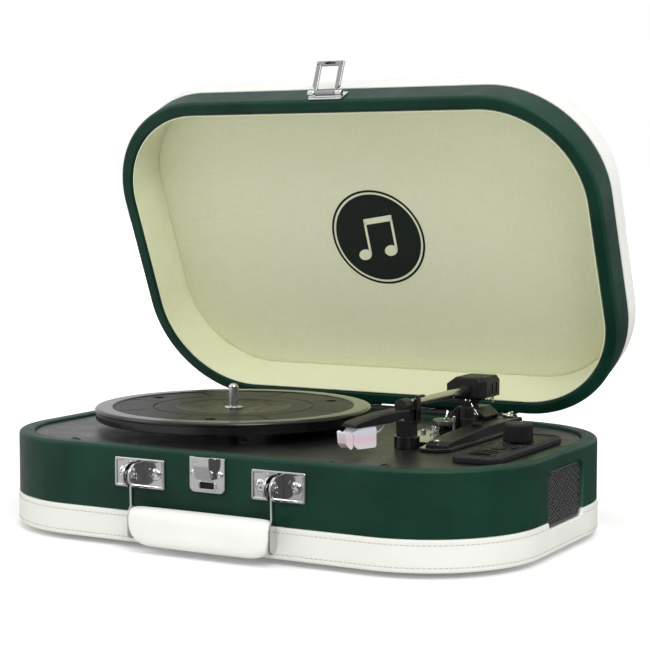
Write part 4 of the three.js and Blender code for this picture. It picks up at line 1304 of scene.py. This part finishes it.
def build_tower():
    """The block that carries the arm, with the lift's post and the leads behind it."""
    section = rounded([(84, 68.2, 0.3), (109.6, 68.2, 0.3), (109.6, 76, 0.8), (114, 76.4, 0.8),
                       (106, 83, 1.6), (90, 83, 1.6), (84, 75, 1.2)], 5)
    bore = rod(2.9, 60, 90).moved(RAIL_X, RAIL_Y)
    tower = plate(section, 0, 24, 0.9).turned(90, "X").moved(0, 81, 0)
    tower += cut(block((100, RAIL_Y + 1, 68.2), (108, 60, 78), 0.8), bore)
    tower += lathe([(0, 82), (6, 82), (6, 85.6), (5.6, 86), (0, 86)], 40).moved(PIVOT_X, YOKE_Y)
    post = [(2.9, 68.2), (5.2, 68.2), (5.2, 77), (4.8, 77.4), (4.8, 84.4), (4.4, 85), (2.9, 85), (2.9, 68.2)]
    tower += lathe(post, 40).moved(RAIL_X, RAIL_Y)
    for x in (92, 97.5, 103):
        tower += block((x - 0.6, 56, 69), (x + 0.6, 58, 81), 0.25)
    piece("arm_tower_block", tower, BLACK, "case", replaces=["arm_tower"])
    leads = Shape([], [])
    for start, bow in [(98.0, 1.0), (99.6, -0.6), (101.4, 0.5)]:
        path = []
        for i in range(11):
            share = i / 10
            sag = bow * math.sin(math.pi * share)
            path.append((start + 6.5 * share ** 1.4 + sag, 55.2 - sag * 0.6, 89 - 10.5 * share))
        leads += pipe(path, WIRE_R, 6)
    piece("arm_leads", leads, TUBE_METAL, "case")


def build_arm_rest():
    base = [(0, 65.7), (8.3, 65.7), (8.5, 66.0), (8.5, 73), (8.3, 73.5), (7.7, 73.8), (0, 73.8)]
    piece("arm_rest_base", lathe(base, 56).moved(REST_X, REST_Y), GLOSS_BLACK, "case")
    column = block((88.4, REST_Y - 4.4, 73), (100.4, REST_Y + 4.4, 84), 1.0)
    column += block((93.4, REST_Y - 2.8, 82), (103.4, REST_Y + 2.8, 91.9), 0.7)
    column += block((100.5, REST_Y - 2.8, 84), (103.4, REST_Y + 2.8, 98.6), 0.5)
    piece("arm_rest_column", column, BLACK, "case", replaces=["arm_rest"])


def build_clip():
    x = 101.9
    bar = lathe([(0, 98.9), (1.6, 98.9), (1.6, 100.2), (1.3, 100.5), (0, 100.5)], 28).moved(x, REST_Y)
    bar += block((x - 1.45, REST_Y, 98.9), (x + 1.45, REST_Y + 8.9, 100.5), 0.5)
    piece("rest_clip", bar, BLACK, "clip", replaces=["arm_clip"])


def build_cue():
    x, y, r = CUE_X, CUE_Y, 8.2
    profile = [(0, 72.1), (r - 0.5, 72.1), (r, 72.5), (r, 75.2), (r - 0.3, 75.8), (r - 1, 76.2), (3, 76.3)]
    knob = lathe([*profile, (0, 76.3)], 56).moved(x, y)
    piece("cue_disc", knob, CUE_GREY, "cue_lever", replaces=["cue_lever"])
    lever = [(x, y + 0.6, 76.1), (x, y + 2.4, 76.9), (x, y + 4.2, 79.4), (x, y + 5.2, 81.2)]
    piece("cue_handle", pipe(lever, [0.8, 0.8, 0.8, 1.05], 12), CHROME, "cue_lever")

    rail = lathe([(0, 58), (2.6, 58), (2.6, 88.7), (2.3, 89), (0, 89)], 32).moved(RAIL_X, RAIL_Y)
    rail += block((80, RAIL_Y - 1.9, 87.05), (RAIL_X, RAIL_Y + 1.9, 88.7), 0.4)
    rail += pipe([(80.5, RAIL_Y, 89.1), (90, RAIL_Y, 89.1), (RAIL_X - 3, RAIL_Y, 89.1)], 1.05, 16)
    piece("lift_bar", rail, BLACK, "cue_rail", replaces=["cue_rail"])


def build_yoke():
    x, y = PIVOT_X, YOKE_Y
    yoke = lathe([(0, 86.3), (7.8, 86.3), (8, 86.5), (8, 88.4), (7.7, 88.7), (0, 88.7)], 48).moved(x, y)
    yoke += block((x - 10.4, y - 3.4, 88), (x + 10.4, y + 3.4, 89.6), 0.3)
    ear = rounded([(y - 3.4, 88.2, 0.3), (y + 3.4, 88.2, 0.3), (y + 3.4, 98.6, 3), (y - 3.4, 98.6, 3)], 5)
    bore = rod(1.6, -4, 4).turned(90, "Y").moved(0, y, PIVOT_Z)
    ear = cut(plate(ear, -1.45, 1.45, 0.3).sideways(), bore)
    yoke += ear.moved(x - 9) + ear.moved(x + 9)
    piece("yoke_frame", yoke, BLACK_STEEL, "yoke", replaces=["arm_yoke"])


def build_tube():
    """The arm's tube, the socket where it enters the cover, and the wires that hang out behind."""
    bore, r = 1.9, 2.75
    y_front, y_rear = -40, 58
    profile = [(bore, y_front), (r - 0.15, y_front), (r, y_front + 0.2)]
    profile += [(r, y_rear - 0.2), (r - 0.15, y_rear), (bore, y_rear), (bore, y_front)]
    tube = lathe(profile, 40).turned(-90, "X").moved(PIVOT_X, 0, PIVOT_Z)
    piece("tone_tube", tube, TUBE_METAL, "arm", replaces=["arm_tube"])
    socket = lathe([(2.85, 51.5), (3.9, 51.5), (4.9, 56.2), (2.85, 56.2), (2.85, 51.5)], 40)
    socket = socket.turned(-90, "X").moved(PIVOT_X, 0, PIVOT_Z)
    piece("tube_socket", socket, MATT_BLACK, "arm")
    wires = Shape([], [])
    for offset, drop in [(-1.8, 0.0), (0.0, 1.0), (1.8, 0.4)]:
        path = []
        for i in range(13):
            share = i / 12
            sway = 1.2 * math.sin(3 * share + offset)
            height = 91.2 - drop - 4.5 * math.sin(math.pi * share)
            path.append((108.6 + offset * 0.6 + sway, 72 + 8 * share, height))
        wires += pipe(path, WIRE_R, 6)
    piece("arm_wires", wires, TUBE_METAL, "arm")


def build_arm_cover():
    """The housing round the pivot, its right front corner cut back, with a seam and two grooves."""
    x, z = PIVOT_X, PIVOT_Z
    left, right, front, rear, low, high = 83, 112, 56, 84, 89.8, 104.2
    outline = rounded([(left, low, 0.8), (right, low, 0.8), (right, high - 3, 0.6), (right - 2.5, high, 0.6),
                       (left + 7, high, 1.0), (left, high - 5, 1.0)], 4)
    rings = []
    cut_width = 8
    for y, away, cut_back in [(rear, 1.1, 0), (rear - 0.35, 0.35, 0), (rear - 1.1, 0, 0), (front + 4.6, 0, 0),
                              (front + 1.1, 0, 3.5), (front + 0.35, 0.35, 4.2), (front, 1.1, 4.6)]:
        ring = []
        for across, up in inset(outline, away):
            share = min(1, max(0, (across - right + cut_width) / cut_width))
            ring.append((across - cut_back * share, y, up))
        rings.append(ring)
    cover = loft(rings)
    hollow = block((x - 11.4, front + 3, low - 2), (x + 11.4, rear - 8, 101.6), 0.3)
    tube_hole = rod(3.05, front - 2, front + 5, 32).turned(-90, "X").moved(x, 0, z)
    bore = rod(1.7, -13.9, 13.9).turned(90, "Y").moved(x, YOKE_Y, z)
    grooves = [block((right - 0.6, y, low + 2), (right + 2, y + 2.4, high - 4.5), 0.1) for y in (69, 76)]
    seam = block((left - 2, 69.6, low - 1), (left + 0.5, 70.2, high - 4), 0.05)
    cover = cut(cover, hollow, tube_hole, bore, *grooves, seam)
    piece("arm_cover", cover, MATT_BLACK, "arm", replaces=["arm_housing"])


def build_head():
    """The headshell with its collar and leads, running forwards along the head's own -Y."""
    tip, half = HEAD_TIP, 6.5
    top = [(-1, 93.2), (-8, 93.0), (-16, 92.6), (-25, 91.6), (-35, 89.8), (tip + 3, 88.2), (tip, 86.6)]
    low = [(-1, 89.2), (-6, 87.0), (-16, 85.5), (-25, 85.1), (-35, 84.7), (tip + 3, 84.1), (tip, 84.5)]
    rings = []
    for (y, high_z), (_, low_z) in zip(top, low):
        shoulder = min(1.1, (high_z - low_z) * 0.4)
        section = [(-half, low_z, 0.3), (half, low_z, 0.3), (half, high_z - shoulder, 0.5),
                   (half - 1.4, high_z, 0.6), (-half + 1.4, high_z, 0.6), (-half, high_z - shoulder, 0.5)]
        rings.append([(x, y, z) for x, z in rounded(section, 3)])
    shell = loft(rings)
    collar = [(0, -5), (4.1, -5), (4.4, -4.6), (4.4, 4.6), (4.1, 5), (3.05, 5), (3.05, -1.5), (0, -1.5)]
    collar = lathe(collar, 40).turned(-90, "X").moved(0, 0, PIVOT_Z).turned(HEAD_YAW, "Z")
    neck = block((-4, -4.6, 90.4), (4, 2.6, 93.4), 0.6).turned(HEAD_YAW, "Z")
    piece("head_shell", shell + collar + neck, BLACK, "arm", HEAD, ["headshell"])
    leads = Shape([], [])
    for x in (-3.6, -1.2, 1.2, 3.6):
        path = [(x, -30.5, 80.4), (x, -27.5, 79.8), (x * 0.9, -23.5, 80.6), (x * 0.7, -19.5, 83.4),
                (x * 0.6, -17, 86.2)]
        leads += pipe(path, [0.75, 0.75, 0.4, 0.4, 0.4], 8)
    piece("cartridge_leads", leads, MARK_WHITE, "arm", HEAD)


def build_cartridge():
    """The cartridge under the head and the stylus guard; drawn clockwise, so their edges swell outwards."""
    front = HEAD_TIP + 1
    side = rounded([(front + 17, 71.6, 0.8), (front + 17, 83.4, 0.8), (front + 3, 83.4, 0.8),
                    (front, 80.5, 0.8), (front, 73.7, 0.8), (front + 3, 71.6, 0.8)], 4)
    body = plate(side[::-1], -5.5, 5.5, 0.9).sideways()
    body += block((-4.6, front + 3, 82.8), (4.6, front + 15, 84.6), 0.4)
    piece("cartridge_body", body, PEARL, "arm", HEAD, ["cartridge"])
    edge = HEAD_TIP + 0.4
    guard = rounded([(edge, 71.2, 0.5), (edge, 76, 0.4), (edge - 3.8, 80.4, 0.5), (edge - 5.8, 80.4, 0.6),
                     (edge - 4.9, 73, 1.0), (edge - 1.5, 69.5, 0.9)], 4)
    body = plate(guard[::-1], -4.2, 4.2, 0.6).sideways().moved(z=1.6)
    piece("stylus_guard", body, PEARL, "arm", HEAD, ["stylus"])


# ---- Controls ----

def build_panel():
    at_x, at_y = (PANEL_LOW.x + PANEL_HIGH.x) / 2, (PANEL_LOW.y + PANEL_HIGH.y) / 2
    width, depth = PANEL_HIGH.x - PANEL_LOW.x, PANEL_HIGH.y - PANEL_LOW.y
    top, bottom = PANEL_HIGH.z, DECK_TOP + 0.3
    outer = rounded_rectangle(width, depth, 8, 10)
    rings = []
    for away, z in [(0.2, bottom), (0, bottom + 0.3), (0, top - 1.8), (0.3, top - 1.2), (1.2, top - 0.4),
                    (1.8, top - 0.1), (2.3, top), (2.9, top - 0.05), (3.3, top - 0.6), (3.9, top - 0.9)]:
        rings.append([(x, y, z) for x, y in inset(outer, away)])
    base = loft(rings).moved(at_x, at_y)
    face = top - 0.9
    sunk = face - 0.1
    holes = [rod(3.6, bottom - 1, top + 1, 32).moved(KNOB_X, KNOB_Y)]
    holes.append(block((152, -62, top - 2.0), (168, -54, top + 1), 0.6))
    holes.append(rod(2.2, bottom + 1, top + 1).moved(160, -28))
    holes.append(block((151, -46, top - 3.2), (166, -40, top + 1), 0.5))
    base = cut(base, *holes)
    piece("panel_plate", base, MATT_BLACK, "case", replaces=["control_panel"])
    trim = Shape([], [])
    for outside, inside, x, y in [((19, 11, 2, 5), (16.2, 8.2, 0.8, 5), 160, -58),
                                  ((18, 9, 2, 5), (15.2, 6.2, 0.7, 5), 158.5, -43)]:
        surround = frame_plate(rounded_rectangle(*outside), rounded_rectangle(*inside), sunk, top - 0.1, 0.3)
        trim += surround.moved(x, y)
    socket_ring = [(2.3, sunk), (4.6, sunk), (4.5, top), (3.8, top + 0.3), (2.6, top + 0.3), (2.3, top - 0.1)]
    trim += lathe([*socket_ring, socket_ring[0]], 40).moved(160, -28)
    knob_ring = [(11.2, sunk), (12.6, sunk), (12.4, top - 0.2), (11.4, top - 0.2), (11.2, sunk)]
    trim += lathe(knob_ring, 56).moved(KNOB_X, KNOB_Y)
    trim += disc(1.7, sunk, top + 0.4, 24, 0.5).moved(168, -22)
    piece("panel_trim", trim, BLACK, "case")
    ticks = Shape([], [])
    for i in range(11):
        angle = 240 - 30 * i
        tick = block((-0.22, 13.3, face - 0.05), (0.22, 14.6 if i % 5 == 0 else 14.2, face + 0.08), 0.05)
        ticks += tick.turned(angle - 90, "Z").moved(KNOB_X, KNOB_Y)
    piece("panel_scale", ticks, MARK_WHITE, "case")


def build_switches():
    """The two ribbed sliding switches and the speed lever."""
    low, high = span("mode_switch", CASE)
    toggle = block((low.x, low.y, low.z + 0.2), (high.x, high.y, high.z - 0.6), 0.5)
    for i in range(4):
        ridge = low.y + 1.0 + i * 1.33
        toggle += block((low.x + 0.4, ridge - 0.3, high.z - 0.8), (high.x - 0.4, ridge + 0.3, high.z), 0.15)
    piece("mode_toggle", toggle, BLACK, "mode", replaces=["mode_switch"])

    low, high = span("autostop_switch", CASE)
    toggle = block(tuple(low), (high.x, high.y, high.z - 0.5), 0.5)
    for i in range(4):
        ridge = low.y + 1.4 + i * 1.4
        toggle += block((low.x + 0.4, ridge - 0.3, high.z - 0.7), (high.x - 0.4, ridge + 0.3, high.z), 0.15)
    piece("autostop_toggle", toggle, BLACK, "autostop", replaces=["autostop_switch"])

    low, high = span("speed_lever", CASE)
    x, y = 118, 84
    disc_top = low.z + 1.6
    rim = [(0, low.z), (3.8, low.z), (4, low.z + 0.2), (4, disc_top - 0.4), (3.7, disc_top), (0, disc_top)]
    lever = lathe(rim, 36).moved(x, y)
    handle = [(x, y + 1, disc_top), (x, y + 5, disc_top + 0.3), (x, y + 8.2, disc_top + 0.3)]
    lever += pipe(handle, [1.0, 0.95, 1.0], 12)
    piece("speed_handle", lever, CHROME, "speed", replaces=["speed_lever"])


def build_knob():
    high = span("volume_knob", KNOB)[1]
    bottom, top, r = PANEL_HIGH.z + 0.3, high.z, high.x
    outline = []
    ridges = 40
    for i in range(ridges * 6):
        angle = 2 * math.pi * i / (ridges * 6)
        radius = r - 0.28 + 0.26 * math.cos(ridges * angle)
        outline.append((radius * math.cos(angle), radius * math.sin(angle)))
    rings = []
    for away, z in [(0.4, bottom), (0.0, bottom + 0.4), (0.05, bottom + 1.5), (0.4, top - 2.4),
                    (0.7, top - 1.6)]:
        rings.append([(x * (1 - away / r), y * (1 - away / r), z) for x, y in outline])
    for away, z in [(1.0, top - 0.9), (1.5, top - 0.35), (2.2, top - 0.05), (3.0, top), (3.6, top - 0.12),
                    (8.5, top - 0.5)]:
        rings.append([(x, y, z) for x, y in ellipse(r - away, r - away, len(outline))])
    knob = loft(rings) + rod(2.9, 53, bottom + 1)
    piece("knob_cap", knob, MATT_BLACK, "volume", KNOB, ["volume_knob"], sharp=50)
    mark = block((-0.35, r - 5.5, top - 0.4), (0.35, r - 2.2, top + 0.02), 0.1)
    piece("knob_mark", mark, MARK_WHITE, "volume", KNOB)


# ---- Carried-over CAD nodes ----

KEPT = {
    "motor": (STEEL, 0.5),
    "motor_pulley": (BRASS, 0.2),
    "drive_belt": (RUBBER, 0.1),
    "volume_pot": (STEEL, 0.4),
    "circuit_board": (CIRCUIT, 0.2),
    "speaker_driver_left": (BLACK_BOARD, 0.4),
    "speaker_driver_right": (BLACK_BOARD, 0.4),
    "hinge_pin_left": (STEEL, 0.2),
    "hinge_pin_right": (STEEL, 0.2),
    "arm_pivot_bar": (STEEL, 0.2),
}


def dress_kept_nodes():
    for node, (material, width) in KEPT.items():
        thing = frame["nodes"][node]
        thing.data.materials.clear()
        thing.data.materials.append(material)
        weld = thing.modifiers.new("weld", "WELD")
        weld.merge_threshold = 0.00001
        bevel = thing.modifiers.new("bevel", "BEVEL")
        bevel.width = width * MM
        bevel.segments = 2
        bevel.limit_method = "ANGLE"
        bevel.angle_limit = math.radians(40)


# ---- The scene ----

def build_stage():
    """A plain pale floor that stays soft and white in shadow and is a little darker in reflections."""
    floor = bpy.data.objects.new("floor", bpy.data.meshes.new("floor"))
    size = 8.0
    corners = [(-size, -size, 0), (size, -size, 0), (size, size, 0), (-size, size, 0)]
    floor.data.from_pydata(corners, [], [(0, 1, 2, 3)])
    bpy.context.scene.collection.objects.link(floor)
    surface = Surface("floor_white")
    clouds = surface.noise(300, detail=2)
    rays = surface.node("ShaderNodeLightPath").outputs
    white = surface.blend(clouds, srgb(243, 243, 243), srgb(247, 247, 247))
    mirrored = surface.ramp(surface.calc("ADD", surface.axis("X"), 0.5), (0.35, 0.62), (0.62, 0.1))
    surface.set(colour=surface.blend(rays["Is Glossy Ray"], white, mirrored), roughness=0.8, specular=0.1)
    surface.connect((1.0, 1.0, 1.0), surface.shader.inputs["Emission Color"])
    away = surface.node("ShaderNodeVectorMath", {0: surface.place}, operation="LENGTH").outputs["Value"]
    fade = {"Value": away, "From Min": 0.4, "From Max": 1.6, "To Min": 0.2, "To Max": 1.0}
    spread = surface.node("ShaderNodeMapRange", fade).outputs[0]
    glow = surface.calc("MULTIPLY", rays["Is Camera Ray"], spread)
    surface.connect(glow, surface.shader.inputs["Emission Strength"])
    floor.data.materials.append(surface.material)


def light(name, at, size, power):
    """A soft rectangular light turned to the middle of the player."""
    data = bpy.data.lights.new(name, "AREA")
    data.shape = "RECTANGLE"
    data.size, data.size_y = size
    data.energy = power
    lamp = bpy.data.objects.new(name, data)
    lamp.location = at
    towards = Vector((0, 0, 0.1)) - Vector(at)
    lamp.rotation_euler = towards.to_track_quat("-Z", "Y").to_euler()
    bpy.context.scene.collection.objects.link(lamp)


def build_world():
    """White behind the player; in reflections, bright above and behind but dim in front, as in a studio."""
    world = bpy.data.worlds.new("studio")
    world.use_nodes = True
    nodes, links = world.node_tree.nodes, world.node_tree.links

    def node(kind, *inputs, **settings):
        made = nodes.new(kind)
        for key, value in settings.items():
            setattr(made, key, value)
        for socket, value in zip(made.inputs, inputs):
            if isinstance(value, bpy.types.NodeSocket):
                links.new(value, socket)
            else:
                socket.default_value = value
        return made

    direction = node("ShaderNodeSeparateXYZ", nodes.new("ShaderNodeTexCoord").outputs["Generated"]).outputs
    behind = node("ShaderNodeMapRange", direction["Y"], -0.3, 0.5, 0.08, 0.75).outputs[0]
    above = node("ShaderNodeMapRange", direction["Z"], 0.15, 0.75, 0.08, 1.0).outputs[0]
    beside = node("ShaderNodeMapRange", direction["X"], -0.15, -0.5, 0.08, 0.8).outputs[0]
    reflected = node("ShaderNodeMath", behind, above, operation="MAXIMUM").outputs[0]
    reflected = node("ShaderNodeMath", beside, reflected, operation="MAXIMUM").outputs[0]
    rays = nodes.new("ShaderNodeLightPath").outputs
    ambient = node("ShaderNodeMapRange", rays["Is Glossy Ray"], 0.0, 1.0, AMBIENT, reflected).outputs[0]
    strength = node("ShaderNodeMapRange", rays["Is Camera Ray"], 0.0, 1.0, ambient, 1.0).outputs[0]
    links.new(strength, nodes["Background"].inputs["Strength"])
    nodes["Background"].inputs["Color"].default_value = (1, 1, 1, 1)
    bpy.context.scene.world = world


def build_lights():
    light("key", (1.3, -1.3, 1.6), (1.0, 0.9), KEY_POWER)
    light("fill", (-1.5, -1.0, 1.0), (0.9, 1.0), FILL_POWER)
    light("top", (0.0, 0.2, 2.0), (1.6, 1.0), TOP_POWER)


def build_camera():
    data = bpy.data.cameras.new("camera")
    data.lens = LENS
    data.sensor_width = SENSOR
    camera = bpy.data.objects.new("camera", data)
    camera.location = CAMERA_AT
    camera.rotation_euler = Vector(CAMERA_LOOK).to_track_quat("-Z", "Y").to_euler()
    bpy.context.scene.collection.objects.link(camera)
    bpy.context.scene.camera = camera


build_case_wall()
build_base_band()
build_deck()
build_underside()
build_sockets()
build_grille(1)
build_grille(-1)
build_lid()
build_badge()
build_platter()
build_spindle()
build_bracket(1)
build_bracket(-1)
build_grip_seam(build_grip())
build_catch()
build_latch_plate()
build_hasp()
for hinge_side in (1, -1):
    build_hinge(hinge_side, "case", CASE)
    build_hinge(hinge_side, "lid", LID)
build_mechanism()
build_tower()
build_arm_rest()
build_clip()
build_cue()
build_yoke()
build_tube()
build_arm_cover()
build_head()
build_cartridge()
build_panel()
build_switches()
build_knob()
dress_kept_nodes()
build_stage()
build_world()
build_lights()
build_camera()
bpy.context.scene.view_settings.view_transform = "Standard"
